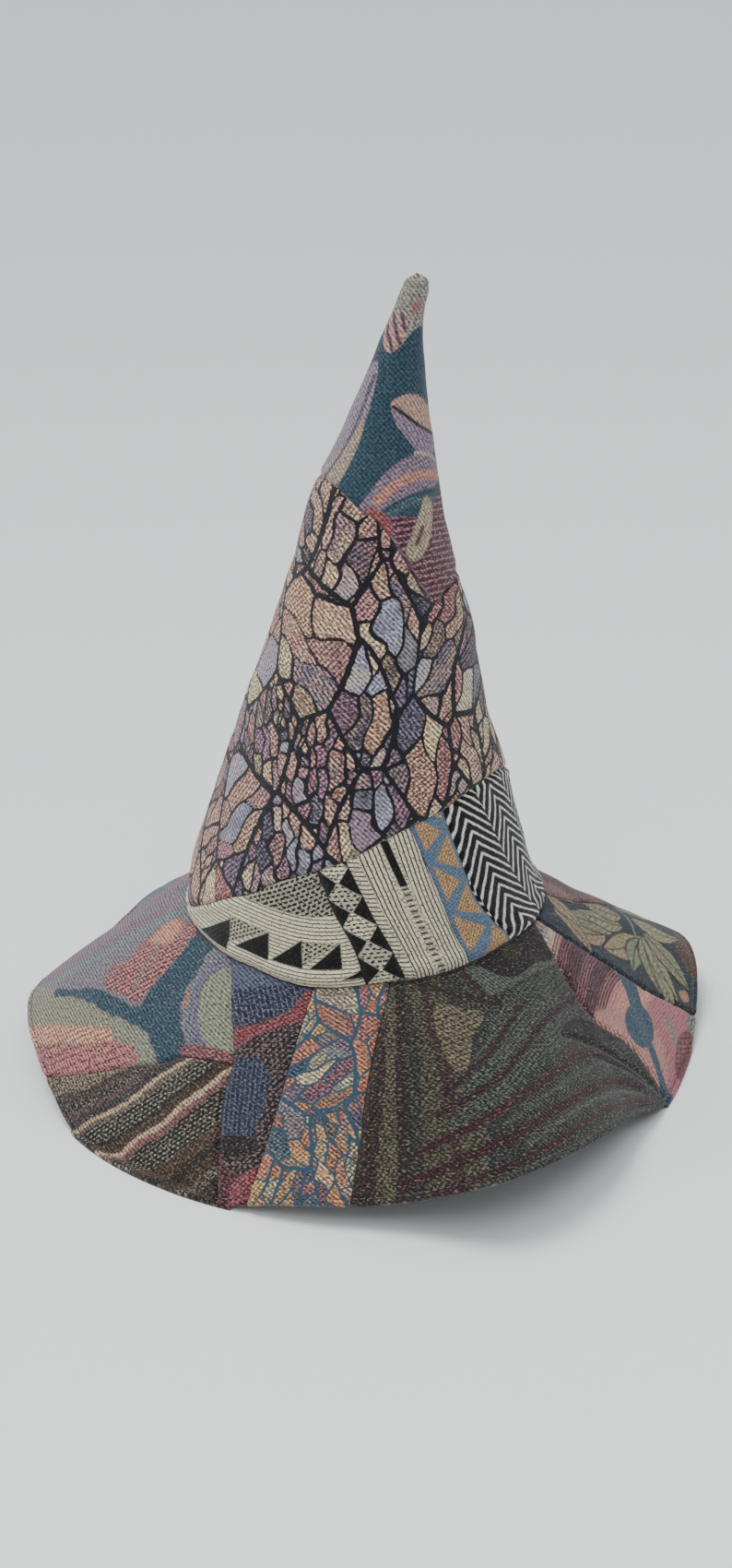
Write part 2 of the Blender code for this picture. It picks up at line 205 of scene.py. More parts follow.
# %% [markdown]
# ## Cloth laid flat
# A pattern keeps its size only on flat cloth. Both crown and brim are close to cones, and a cone
# unrolls: its slant becomes a radius and its turn becomes a smaller angle. All designs are drawn
# on these unrolled coordinates, in millimetres, so a rib or a leaf is as wide at the hem as at the
# seam. Drawing on plain angles would be shorter but stretches everything towards the rim.

# %% Unrolled coordinates
# Crown's cone: slant in mm, share of a turn. Brim's cone: inner radius and slant in mm, share of a turn
CROWN_SLANT = 358.0
CROWN_OPENING = 0.274
BRIM_START = 137.0
BRIM_SLANT = 126.0
BRIM_OPENING = 0.714
# Where the round end of the tip starts, as a height share, and the share over which it blends in
END_START = 0.90
END_BLEND = 0.03


def crown_arc(share):
    """Millimetres of arc for each radian round the crown: its radius at that height."""
    return 1000 * HEAD_RADIUS * smooth(SECTIONS, 1, share)


def back_seam(angle, share):
    """Distance in millimetres to the sewn seam down the back of the crown."""
    return crown_arc(share) * np.radians(180 - np.abs(angle))


def flat_crown(angle, share):
    """Crown cone unrolled about its tip: radius is the slant left, turn the angle times its opening.

    The last tenth is wider than the cone, so there the real arc is used across.
    """
    share = np.asarray(share, float)
    radius = CROWN_SLANT * (1 - share)
    turn = np.radians(angle) * CROWN_OPENING
    rounder = crown_arc(share) - radius * CROWN_OPENING
    extra = np.radians(angle) * rounder * np.clip((share - END_START) / END_BLEND, 0, 1)
    return np.stack([radius * np.sin(turn) + extra, CROWN_SLANT - radius * np.cos(turn)], -1)


def flat_brim(angle, share):
    """Brim cone unrolled: radius grows with the share, turn is the angle times its opening."""
    radius = BRIM_START + BRIM_SLANT * np.asarray(share, float)
    turn = np.radians(angle) * BRIM_OPENING
    return np.stack([radius * np.sin(turn), -radius * np.cos(turn)], -1)


def band_flat(angle, share):
    """Band unrolled: along is the arc at the head, up is the height over the seam."""
    along = 1000 * HEAD_RADIUS * np.radians(angle)
    return np.stack([along, 1050 * CROWN_HEIGHT * np.asarray(share, float)], -1)


print("brim unrolled is", round(BRIM_SLANT), "mm wide")

# %% [markdown]
# ## Drawing on cloth
# A jacquard design is areas of colour, each with its own ribs, flecks and direction. So a point of
# cloth holds its ground colour, the colour of the second thread, the number of the rib it is on
# and of the dash along that rib, how wide ribs and dashes are, how flecked it is, and how near
# the outline thread is. Areas are laid over each other like paper cuttings. Their edges come from
# distances to smooth outlines, worked out for all points at once. Painting an image would be
# quicker, but this part has no image textures, and a rib in an image blurs when seen close.

# %% Colours and shapes
def linear(code):
    """sRGB hex code to linear colour."""
    value = np.array([int(code[i : i + 2], 16) for i in (0, 2, 4)]) / 255
    return np.where(value <= 0.04045, value / 12.92, ((value + 0.055) / 1.055) ** 2.4)


# How bright and how deep the dye is, and how far stray yarns pull it to grey
DYE = 0.80
DEPTH = 1.30
GREYING = 0.20


def dyed(code):
    """Cloth colour in linear light: a power deepens dark yarn, and stray yarns pull it to grey."""
    value = linear(code)
    return DYE * ((1 - GREYING) * value + GREYING * value.mean()) ** DEPTH


def rounded(points, closed=True, steps=8):
    """Smooth line through points: on each span a cubic with the slopes of its neighbours."""
    p = np.array(points, float)
    before = np.roll(p, 1, 0) if closed else np.vstack([p[:1], p[:-1]])
    after = np.roll(p, -1, 0) if closed else np.vstack([p[1:], p[-1:]])
    beyond = np.roll(p, -2, 0) if closed else np.vstack([p[2:], p[-1:], p[-1:]])
    t = np.linspace(0, 1, steps, endpoint=False)[:, None, None]
    line = 0.5 * (
        2 * p + (after - before) * t + (2 * before - 5 * p + 4 * after - beyond) * t**2
        + (3 * p - before - 3 * after + beyond) * t**3
    )
    line = line.transpose(1, 0, 2)
    if closed:
        return line.reshape(-1, 2)
    return np.vstack([line[:-1].reshape(-1, 2), p[-1:]])


def off_line(p, line, closed=False):
    """Distance to a line of short straight pieces: for each piece, to the nearest point on it."""
    ends = np.roll(line, -1, 0) if closed else line[1:]
    starts = line if closed else line[:-1]
    best = np.full(len(p), 1e9)
    for a, b in zip(starts, ends):
        along = b - a
        t = np.clip((p - a) @ along / max(along @ along, 1e-9), 0, 1)
        best = np.minimum(best, np.hypot(*(p - a - t[:, None] * along).T))
    return best


def within(p, line):
    """Signed distance to a closed line, negative where a ray crosses it an odd number of times."""
    inside = np.zeros(len(p), bool)
    for a, b in zip(line, np.roll(line, -1, 0)):
        crosses = (a[1] > p[:, 1]) != (b[1] > p[:, 1])
        rise = b[1] - a[1] if b[1] != a[1] else 1e-9
        inside ^= crosses & (p[:, 0] < (b[0] - a[0]) * (p[:, 1] - a[1]) / rise + a[0])
    return np.where(inside, -1, 1) * off_line(p, line, True)


def along_leaf(p, base, tip, bend=0.0):
    """Place on a bowed axis: share along it, millimetres beside it, and the axis's length."""
    axis = tip - base
    length = np.hypot(*axis)
    forward = axis / length
    aside = np.array([-forward[1], forward[0]])
    t = (p - base) @ forward / length
    return t, (p - base) @ aside - bend * 4 * t * (1 - t), length


# Weave where no area is laid: rib number, rib share (under zero is no ribs), fleck share
PLAIN_WEAVE = (0.0, -0.3, 0.0)
# Floats where no area is laid: dash number, dash share, not used
PLAIN_FLOATS = (0.0, 0.8, 0.0)
# Distance in mm that is too far from any outline to be drawn
FAR = 9.0
# How much the back seam's line is thinned, in mm
SEAM_THIN = 0.55


class Cloth:
    """Points of cloth in unrolled millimetres, and what is woven at each.

    draw is the function that turns a design's points into an outline in those millimetres.
    """

    def __init__(self, p, ground, thread=None, draw=None, **weave):
        self.p = p
        self.draw = draw
        self.ground = np.tile(dyed(ground), (len(p), 1))
        self.thread = self.ground.copy()
        self.weave = np.tile(PLAIN_WEAVE, (len(p), 1))
        self.floats = np.tile(PLAIN_FLOATS, (len(p), 1))
        self.line = np.full(len(p), FAR)
        self.lay(np.full(len(p), -1.0), ground, thread, **weave)

    def lay(self, distance, ground, thread=None, way=40.0, pitch=2.3, ribs=0.36, flecks=0.0,
            soft=0.5, dash=0.8):
        """Weave an area in: all of it where distance is negative, fading over soft millimetres.

        The rib number is the distance square to the ribs over their pitch. Each rib is broken into
        dashes, and the dash number is the distance along it over one and a half pitches.
        """
        over = np.clip(0.5 - distance / soft, 0, 1)[:, None]
        shade = dyed(thread) if thread else 0.4 * dyed(ground)
        self.ground = self.ground * (1 - over) + dyed(ground) * over
        self.thread = self.thread * (1 - over) + shade * over
        a = np.radians(way)
        here = over[:, 0] > 0.5
        number = self.p @ np.array([-np.sin(a), np.cos(a)]) / pitch
        dashes = self.p @ np.array([np.cos(a), np.sin(a)]) / (1.5 * pitch)
        self.weave[:, 0] = np.where(here, number, self.weave[:, 0])
        self.weave[:, 1] += (ribs - self.weave[:, 1]) * over[:, 0]
        self.weave[:, 2] += (flecks - self.weave[:, 2]) * over[:, 0]
        self.floats[:, 0] = np.where(here, dashes, self.floats[:, 0])
        self.floats[:, 1] = np.where(here, dash, self.floats[:, 1])

    def area(self, points, ground, thread=None, ragged=0.0, **weave):
        """Weave in what lies inside a closed outline; ragged is added to the distance from it."""
        self.lay(within(self.p, self.draw(points)) + ragged, ground, thread, **weave)

    def stripe(self, points, half, ground, thread=None, **weave):
        """Weave in a stripe along an open line, half its width given in mm."""
        self.lay(off_line(self.p, self.draw(points, False)) - half, ground, thread, **weave)

    def mark(self, distance):
        """Draw the dark outline thread where distance is near zero."""
        self.line = np.minimum(self.line, distance)


def waves(p, seed, size, count=5):
    """Slow random swell from -1 to 1: the mean of a few sines of random direction."""
    rng = np.random.default_rng(seed)
    total = np.zeros(len(p))
    for _ in range(count):
        way, start = rng.uniform(0, 2 * np.pi, 2)
        length = size * rng.uniform(0.7, 1.4)
        total += np.sin((p @ np.array([np.cos(way), np.sin(way)])) * 2 * np.pi / length + start)
    return total / count * 1.6


# Seeds thrown for a paving, points worked out at once, size share of the small cells
THROWN = 6000
CHUNK = 8000
SMALL = 0.42
# How cells differ in size
SIZE_RANGE = (0.6, 1.4)
# Ways in which a big cell's paving may be turned, its zooms and how likely each zoom is
TURNS = (-50, -28, -12, 0, 14, 32, 60)
ZOOMS = (0.7, 1.0, 1.6)
ZOOM_SHARES = (0.35, 0.4, 0.25)


def paving(p, seed, low, high, size, stretch, cluster=0.0, bend=0.22):
    """Crazy paving: each point belongs to its nearest seed, in space squeezed along the long way.

    Seeds are thrown at random and kept if no other is nearer than the wanted size there.
    Returns the cell of each point and its distance to the border: half the difference of the
    squares of the two distances, over how fast that grows per millimetre of cloth.
    """
    rng = np.random.default_rng(seed)
    scale = np.array([1.0, stretch])

    def squeeze(q):
        swell = waves(q, seed + 1, 3.1 * size), waves(q, seed + 2, 3.7 * size)
        return (q + bend * size * np.stack(swell, -1)) / scale

    thrown = squeeze(rng.uniform(low, high, (THROWN, 2)))
    wanted = size * np.where(waves(thrown, seed + 3, 5.5 * size) > 1 - 2 * cluster, SMALL, 1.0)
    wanted = wanted * rng.uniform(*SIZE_RANGE, len(thrown))
    kept = [0]
    for i in range(1, len(thrown)):
        gap = np.hypot(*(thrown[kept] - thrown[i]).T)
        if np.all(gap > 0.5 * (wanted[kept] + wanted[i])):
            kept.append(i)
    seeds = thrown[kept]
    apart = (seeds[:, None] - seeds[None]) / scale
    apart = np.hypot(*apart.transpose(2, 0, 1)) + np.eye(len(seeds)) * 1e9
    owner = np.zeros(len(p), int)
    edge = np.zeros(len(p))
    for part in np.array_split(np.arange(len(p)), max(1, len(p) // CHUNK)):
        q = squeeze(p[part])
        square = (q**2).sum(1)[:, None] + (seeds**2).sum(1)[None] - 2 * q @ seeds.T
        mine = square.argmin(1)
        least = square[np.arange(len(part)), mine]
        border = (square - least[:, None]) / (2 * apart[mine])
        border[np.arange(len(part)), mine] = 1e9
        owner[part], edge[part] = mine, border.min(1)
    return owner, edge


def shards(p, seed, low, high, size, stretch, piece, cluster):
    """Paving in two steps: big cells, then each big cell is paved along a way of its own.

    Returns the small cell of each point, numbered over the whole patch, and the distances to the
    borders of its big cell and of its small cell.
    """
    rng = np.random.default_rng(seed + 50)
    big, big_edge = paving(p, seed, low, high, size, stretch, cluster)
    count = big.max() + 1
    turn = rng.choice(np.radians(TURNS), count)[big]
    middles = [p[big == i].mean(0) if np.any(big == i) else np.zeros(2) for i in range(count)]
    local = p - np.array(middles)[big]
    turned = np.stack([local[:, 0] * np.cos(turn) - local[:, 1] * np.sin(turn),
                       local[:, 0] * np.sin(turn) + local[:, 1] * np.cos(turn)], -1)
    zoom = rng.choice(ZOOMS, count, p=ZOOM_SHARES)[big]
    turned = turned * zoom[:, None] + rng.uniform(-60, 60, (count, 2))[big]
    small, small_edge = paving(turned, seed + 7, (-140, -140), (140, 140), piece, 2.3, 0.0, 0.3)
    return big * 1000 + small, big_edge, small_edge / zoom


print("salmon in linear light:", np.round(linear("cf9184"), 3))

# %% [markdown]
# ## The crown's crazy paving
# Dark outline threads run round long, mostly upright cells of peach, salmon, butter and lilac,
# with clusters of small cells between. Drawing each cell by hand would copy one design and take
# hundreds of numbers. Throwing seeds and giving each point to the nearest one makes a design of
# its own with the same size and colours. It is done twice: big cells first, then small ones in
# each big cell, turned a way of their own. The colours drift in zones over the crown.

# %% Crown design
# Cell colours: ground, thread, warm share, cool share, yellow share
CELL_COLOURS = (
    ("e8c2a8", "8c6055", 3.0, 0.4, 1.0),
    ("dea698", "84505a", 3.0, 0.5, 0.5),
    ("cf989a", "704a58", 2.0, 0.8, 0.2),
    ("f4e8bc", "a88f6c", 0.8, 0.3, 4.0),
    ("ecd0aa", "a07a60", 1.4, 0.3, 2.5),
    ("968c9e", "48425a", 0.6, 3.0, 0.1),
    ("8a8ca4", "c4c0cc", 0.4, 2.4, 0.1),
    ("ba90a4", "6a485c", 1.2, 2.2, 0.2),
    ("7c7488", "3a3846", 0.6, 2.0, 0.1),
    ("9a8c86", "524a4c", 0.5, 1.0, 0.3),
)
# Zones: angle, height share, reach in mm, kind (0 warm, 1 cool, 2 yellow)
CROWN_ZONES = (
    (-55, 0.42, 30, 2), (-60, 0.30, 26, 1), (-50, 0.20, 24, 0), (-75, 0.14, 30, 0),
    (-30, 0.18, 22, 1), (-25, 0.27, 26, 0), (5, 0.24, 34, 1), (12, 0.38, 26, 1), (-5, 0.45, 24, 2),
    (-28, 0.36, 24, 0), (45, 0.36, 26, 2), (62, 0.30, 24, 2), (35, 0.28, 22, 0), (-20, 0.60, 40, 0),
    (-8, 0.66, 20, 2), (20, 0.50, 22, 1), (60, 0.48, 26, 1), (45, 0.55, 20, 0), (-70, 0.55, 30, 0),
    (80, 0.42, 30, 0),
)
# How likely any colour is anywhere, how far a cell drifts to its second colour, size of the drift
ANYWHERE = 0.08
DRIFT = 0.55
DRIFT_SIZE = 16
# Ways of the ribs in degrees, their widths and fleck shares, of which each cell takes one
CELL_WAYS = (35, 48, 125, 140, 60)
CELL_RIBS = (0.32, 0.42, 0.52)
CELL_FLECKS = (0.15, 0.25, 0.40)


def paved_colours(cloth, owner, palette, zones, seed, pitch):
    """Give every cell a colour of its zone, a second colour it drifts to, and a way for its ribs.

    A zone pulls with exp(-(distance/reach)^2), and the pull times a colour's share makes it likely.
    """
    rng = np.random.default_rng(seed)
    numbers, owner = np.unique(owner, return_inverse=True)
    count = np.bincount(owner)
    middle = np.stack([np.bincount(owner, cloth.p[:, k]) / count for k in (0, 1)], -1)
    shares = np.array([row[2:5] for row in palette])
    likely = np.full((len(numbers), len(palette)), ANYWHERE)
    for x, y, reach, kind in zones:
        pull = np.exp(-((middle[:, 0] - x) ** 2 + (middle[:, 1] - y) ** 2) / reach**2)
        likely = likely + pull[:, None] * shares[:, kind]
    total = np.cumsum(likely, 1)
    chosen = (rng.random((len(numbers), 1)) * total[:, -1:] > total).sum(1)
    other = (rng.random((len(numbers), 1)) * total[:, -1:] > total).sum(1)
    grounds = np.array([dyed(row[0]) for row in palette])
    threads = np.array([dyed(row[1]) for row in palette])
    drift = (0.5 + 0.5 * waves(cloth.p, seed + 5, DRIFT_SIZE))[:, None].clip(0, 1) * DRIFT
    cloth.ground = grounds[chosen][owner] * (1 - drift) + grounds[other][owner] * drift
    cloth.thread = threads[chosen][owner] * (1 - drift) + threads[other][owner] * drift
    way = np.radians(rng.choice(CELL_WAYS, len(numbers)))[owner]
    cloth.weave[:, 0] = (cloth.p[:, 1] * np.cos(way) - cloth.p[:, 0] * np.sin(way)) / pitch
    cloth.weave[:, 1] = rng.choice(CELL_RIBS, len(numbers))[owner]
    cloth.weave[:, 2] = rng.choice(CELL_FLECKS, len(numbers))[owner]
    cloth.floats[:, 0] = (cloth.p[:, 0] * np.cos(way) + cloth.p[:, 1] * np.sin(way)) / (1.6 * pitch)
    cloth.floats[:, 1] = 0.85


def paint_crown(angle, share):
    """The crown's design: cells with colours by zone, and the sewn seam down the back."""
    p = flat_crown(angle, share)
    cloth = Cloth(p, "a08a80")
    cells, big_edge, small_edge = shards(p, 21, (-300, 20), (300, 260), 31.0, 1.7, 9.0, 0.2)
    zones = [(*flat_crown(a, s), reach, kind) for a, s, reach, kind in CROWN_ZONES]
    paved_colours(cloth, cells, CELL_COLOURS, zones, 22, 2.4)
    cloth.mark(big_edge - 0.3)
    cloth.mark(small_edge + 0.15)
    cloth.mark(back_seam(angle, share) + SEAM_THIN)
    return cloth


print("crown zones:", len(CROWN_ZONES))

# %% [markdown]
# ## The tip's leaves
# The tip piece is deep teal twill with large soft leaves in lilac, peach and sage, a patch of
# wine-red ribs low on the right and a grey end. Each leaf is a smooth outline through a few points
# given as angle and height share, and its veins are stripes along an open line.

# %% Tip design
TEAL = ("3f6577", "2f4d60")
# Height of the crown in mm
TALL = 1000 * CROWN_HEIGHT
# Grey end of the tip, as height shares: its edge, the edge's dip at the left and its wave
CAP_EDGE = 0.93
CAP_DIP = 0.032
CAP_WAVE = 0.004
# Top of the striped fan on it
FAN_TOP = 0.948


def crown_line(points, closed=True):
    """Outline on the crown from angle and height share, in unrolled millimetres."""
    table = np.array(points, float)
    return rounded(flat_crown(table[:, 0], table[:, 1]), closed)


def paint_tip(angle, share):
    """The tip's design, from the ground up."""
    p = flat_crown(angle, share)
    cloth = Cloth(p, *TEAL, draw=crown_line, way=50, pitch=2.0, ribs=0.42, flecks=0.25)
    cloth.area([(-40, 0.86), (-35, 0.82), (-37, 0.78), (-37, 0.75), (-40, 0.72), (-47, 0.70),
                (-75, 0.69), (-110, 0.70), (-105, 0.80), (-75, 0.87), (-55, 0.88)], "a99aa6",
               "8b7f92", way=75, ribs=0.4, flecks=0.3)
    cloth.area([(-38, 0.80), (-36, 0.76), (-42, 0.715), (-60, 0.695), (-85, 0.70), (-75, 0.735),
                (-58, 0.765)], "c4ad98", "9c9486", way=60, ribs=0.35, flecks=0.4)
    cloth.stripe([(-47, 0.86), (-50, 0.80), (-60, 0.74), (-72, 0.70)], 1.2, "7d7088")
    cloth.area([(-3, 0.825), (15, 0.836), (40, 0.834), (68, 0.818), (92, 0.79), (100, 0.76),
                (78, 0.748), (52, 0.744), (35, 0.765), (20, 0.785), (8, 0.80)], "aa93a2", "857590",
               way=120, ribs=0.4, flecks=0.2)
    cloth.area([(-3, 0.826), (15, 0.837), (40, 0.836), (70, 0.82), (98, 0.79), (75, 0.775),
                (45, 0.795), (20, 0.812)], "cda993", "b48f86", way=115, ribs=0.35, flecks=0.3)
    cloth.stripe([(2, 0.822), (25, 0.808), (50, 0.79), (80, 0.772)], 0.8, "40353f")
    cloth.area([(-19, 0.675), (-9, 0.705), (3, 0.732), (22, 0.75), (45, 0.754), (75, 0.738),
                (88, 0.715), (72, 0.70), (45, 0.703), (25, 0.698), (10, 0.688), (0, 0.674),
                (-10, 0.662)], "a58f9e", "806d86", way=25, ribs=0.4, flecks=0.25)
    cloth.stripe([(0, 0.695), (15, 0.715), (35, 0.724), (80, 0.712)], 2.6, "d09a84", "bb7f78",
                 way=20, ribs=0.35, flecks=0.3)
    cloth.stripe([(38, 0.756), (60, 0.748), (84, 0.728), (80, 0.705)], 1.0, "cfc0b4")
    cloth.stripe([(12, 0.675), (25, 0.688), (45, 0.688), (70, 0.68)], 2.2, "66808a", "4a6470",
                 way=20, ribs=0.35, flecks=0.4)
    cloth.area([(9, 0.668), (22, 0.672), (40, 0.668), (80, 0.685), (125, 0.67), (140, 0.58),
                (80, 0.535), (38, 0.53), (26, 0.60), (16, 0.64)], "662f48", "b58a92", way=8,
               pitch=3.2, ribs=0.32, flecks=0.1)
    cloth.area([(48, 0.692), (40, 0.67), (31, 0.645), (24, 0.62), (30, 0.606), (42, 0.618),
                (54, 0.65), (58, 0.68)], "c9b79a", "a08d7d", way=70, ribs=0.35, flecks=0.3)
    cloth.stripe([(34, 0.63), (42, 0.65)], 1.2, "7c5f58")
    cloth.stripe([(-4, 0.672), (6, 0.648), (17, 0.612), (30, 0.565), (40, 0.53)], 4.2, "9b8f94",
                 "6c6570", way=122, ribs=0.35, flecks=0.3)
    cloth.stripe([(18, 0.612), (30, 0.568), (40, 0.53)], 3.4, "6b3c55", "9a7080", way=122, ribs=0.4,
                 flecks=0.1)
    cloth.stripe([(-5, 0.675), (3, 0.668), (8, 0.655)], 4.0, "bb6f6d", "8f4f5a", way=60, ribs=0.3,
                 flecks=0.35)
    turn = (angle + 180) % 360 - 180
    dip = CAP_DIP * np.exp(-(((turn + 30) / 55) ** 2))
    edge = CAP_EDGE - dip + CAP_WAVE * np.sin(np.radians(3 * turn))
    cloth.lay((edge - share) * TALL, "a8a698", "8c7f82", way=30, ribs=-0.3, flecks=0.4)
    fan = np.maximum(edge - share, share - FAN_TOP) * TALL
    cloth.lay(np.maximum(fan, (np.abs(turn + 42) - 46) * 0.2), "c9a28f", "6f5470", way=118,
              pitch=4.1, ribs=0.45, flecks=0.05, dash=1.5)
    spot = np.hypot((turn - 22) * 0.16, (share - 0.957) * TALL) - 3.0
    cloth.lay(spot, "b2646b", "9a8a84", ribs=-0.3, flecks=0.4, soft=1.5)
    cloth.mark(back_seam(angle, share) + SEAM_THIN)
    return cloth


print("tip ground:", TEAL[0])

# %% [markdown]
# ## The band of black and cream
# Five strips of thick jacquard: cream ribs with a row of black right-angled triangles, a leaning
# strip of triangles and checks, pinstripes, ochre triangles in blue bars, and a stepped zigzag.
# All are traditional weaves, made from sawtooth sums of the distance along and across the strip.

# %% Band designs
CREAM = ("f0e5c8", "4c4943")
BLACK = "101012"


def across_strip(left, right, angle, share):
    """Place on a leaning strip: share of its width from the left seam, and millimetres up it."""
    up = share / band_edge(angle)
    start = smooth(BAND_SEAMS[left], 1, up)
    end = smooth(BAND_SEAMS[right], 1, up)
    width = crown_arc(share) * np.radians(end - start)
    climb = 1000 * np.hypot(CROWN_HEIGHT * share, 0.35 * HEAD_RADIUS * share)
    return (angle - start) / (end - start), climb, width


def band_shape(corners):
    """Sharp outline on the band from angles and millimetres over the seam."""
    return np.array([band_flat(a, 0) + (0, z) for a, z in corners])


# Black triangles: angles of the upright side and of the point, base and top in mm over the seam
SAWTEETH = (
    (-46.0, -62.0, 5.0, 22.0), (-30.0, -43.0, 9.0, 24.0), (-18.5, -29.0, 10.0, 25.0),
    (-6.0, -16.5, 10.0, 24.0), (1.0, -6.5, 4.5, 10.0),
)
FLECKED_TEETH = ((-30.0, -46.0, 9.0, 24.0), (-6.0, -20.0, 10.0, 24.0))


def paint_triangles(angle, share):
    """Cream ribs, black sawteeth, flecked teeth between them and a flecked lens along the top."""
    p = band_flat(angle, share)
    cloth = Cloth(p, *CREAM, way=0, pitch=2.0, ribs=0.28, flecks=0.02, dash=1.2)
    for upright, point, base, top in FLECKED_TEETH:
        tooth = band_shape([(upright, top), (point, top), (point, base)])
        cloth.lay(within(p, tooth), "c9c3ad", BLACK, way=30, pitch=2.0, ribs=0.52, flecks=0.1,
                  dash=0.6)
    for upright, point, base, top in SAWTEETH:
        tooth = band_shape([(upright, base), (upright, top), (point, base)])
        cloth.lay(within(p, tooth), BLACK)
    lens = band_shape([(-46, 36), (-34, 37), (-20, 37), (-8, 38), (-8, 62), (-20, 70), (-40, 60),
                       (-52, 46)])
    cloth.lay(within(p, lens), "bdb7a4", BLACK, way=28, pitch=2.3, ribs=0.56, flecks=0.15, dash=0.7)
    return cloth


# Height of one repeat of the checks in mm
CHECK_REPEAT = 15.0


def paint_checks(angle, share):
    """Black triangles from both sides meet in the middle of each repeat; checks fill the rest."""
    side, climb, width = across_strip("triangles", "checks", angle, share)
    cloth = Cloth(band_flat(angle, share), CREAM[0], BLACK, way=2, pitch=2.2, ribs=0.34, flecks=0.1)
    turn = (climb / CHECK_REPEAT) % 1
    half = np.abs(turn - 0.5)
    fancy = np.where(np.floor((climb + CHECK_REPEAT / 2) / CHECK_REPEAT) % 2 == 1, -1.0, 1.0)
    cloth.lay(fancy, "cfc9b3", BLACK, way=0, pitch=2.4, ribs=0.45, flecks=0.08, dash=0.55)
    cloth.lay((0.92 * half + 0.03 - np.abs(side - 0.5)) * width, BLACK)
    cloth.lay(side * width - 0.8, BLACK)
    return cloth


def paint_stripes(angle, share):
    """Pinstripes up the strip, short ribs at its left, a black bar and a ladder of small marks."""
    side, climb, width = across_strip("checks", "stripes", angle, share)
    cloth = Cloth(band_flat(angle, share), *CREAM, way=0, pitch=2.0, ribs=0.34, flecks=0.04)
    cloth.weave[:, 0] = side * width / 2.1
    cloth.floats[:, 1] = 1.5
    cloth.lay(side * width - 5.5, *CREAM, way=-4, pitch=2.3, ribs=0.30, flecks=0.04, dash=1.5)
    lane = np.abs(side - 0.56) * width - 2.2
    cloth.lay(np.maximum(lane - 1.0, -(climb - 2)), CREAM[0], "8a877c", way=2, pitch=2.4, ribs=0.25,
              flecks=0.1)
    rungs = np.maximum(lane + 0.4, np.abs(climb % 3.0 - 1.5) - 0.6)
    cloth.lay(np.maximum(rungs, climb - 50), "5a5852", soft=0.4)
    cloth.lay(np.maximum(lane + 0.3, np.abs(climb - 60) - 12), BLACK)
    return cloth


# Height of one repeat of the lattice and width of its bars in mm
LATTICE_REPEAT = 28.0
LATTICE_BAR = 3.2


def paint_lattice(angle, share):
    """Two rows of ochre triangles, turned towards each other, with blue bars between them."""
    side, climb, width = across_strip("stripes", "lattice", angle, share)
    cloth = Cloth(band_flat(angle, share), "5f7f9e", "8497ab", way=30, pitch=2.0, ribs=0.35,
                  flecks=0.3)
    for offset, facing in ((0.0, 1.0), (0.5, -1.0)):
        high = (((climb - 4) / LATTICE_REPEAT + offset) % 1 - 0.5) * LATTICE_REPEAT
        base = (side if facing > 0 else 1 - side) * width
        point = 0.86 * width
        slope = np.arctan2(LATTICE_REPEAT / 2, point)
        slanted = (np.abs(high + 0.2 * base) - LATTICE_REPEAT / 2 * (1 - base / point)) * np.cos(slope)
        cloth.lay(np.maximum(slanted, -base + 0.5) + LATTICE_BAR / 2, "dab584", "a07c50", way=55,
                  pitch=1.9, ribs=0.38, flecks=0.25)
    return cloth


# Zigzag in mm: where it starts along the band, width of one slope, height of a pair of bars
ZIGZAG_START = 51 * 1.71
ZIGZAG_BLOCK = 18.0
ZIGZAG_PITCH = 7.2
# How far the zigzag leans with height, and how steep its slopes are
ZIGZAG_LEAN = 0.45
ZIGZAG_STEEP = 0.95


def paint_chevron(angle, share):
    """Stepped zigzag: bars whose height follows a triangle wave along the band, moved up in steps."""
    p = band_flat(angle, share)
    cloth = Cloth(p, "f4f2ec", "08080a", ribs=0.72, flecks=0.0)
    lean = p[:, 0] - ZIGZAG_START + ZIGZAG_LEAN * p[:, 1]
    zig = np.abs((lean / ZIGZAG_BLOCK) % 2 - 1) * ZIGZAG_BLOCK
    step = 0.5 * (np.floor(lean / ZIGZAG_BLOCK / 2) % 2)
    cloth.weave[:, 0] = (p[:, 1] + ZIGZAG_STEEP * zig) / ZIGZAG_PITCH + step
    cloth.floats[:, 1] = 1.5
    return cloth


def paint_plain_band(angle, share):
    """The hidden back of the band: plain charcoal twill, finished simply."""
    return Cloth(band_flat(angle, share), "4a4648", "2e2b2f", way=30, pitch=1.8, ribs=0.4,
                 flecks=0.3)


print("sawteeth on the band:", len(SAWTEETH))

# %% [markdown]
# ## The brim's patches
# Nine patches fan out from the head seam. From the left they are a teal shape with pink ribs and
# soft outlines, brown stripes with white dots, navy and wine blocks, small peach cells, a large
# dark leaf, a pink patch with a teal drop, pale foliage on navy, and two quiet ones at the back.

# %% Brim designs
def brim_line(points, closed=True, sharp=False):
    """Outline on the brim from angle and reach share, in unrolled millimetres."""
    table = np.array(points, float)
    at = flat_brim(table[:, 0], table[:, 1])
    return at if sharp else rounded(at, closed)


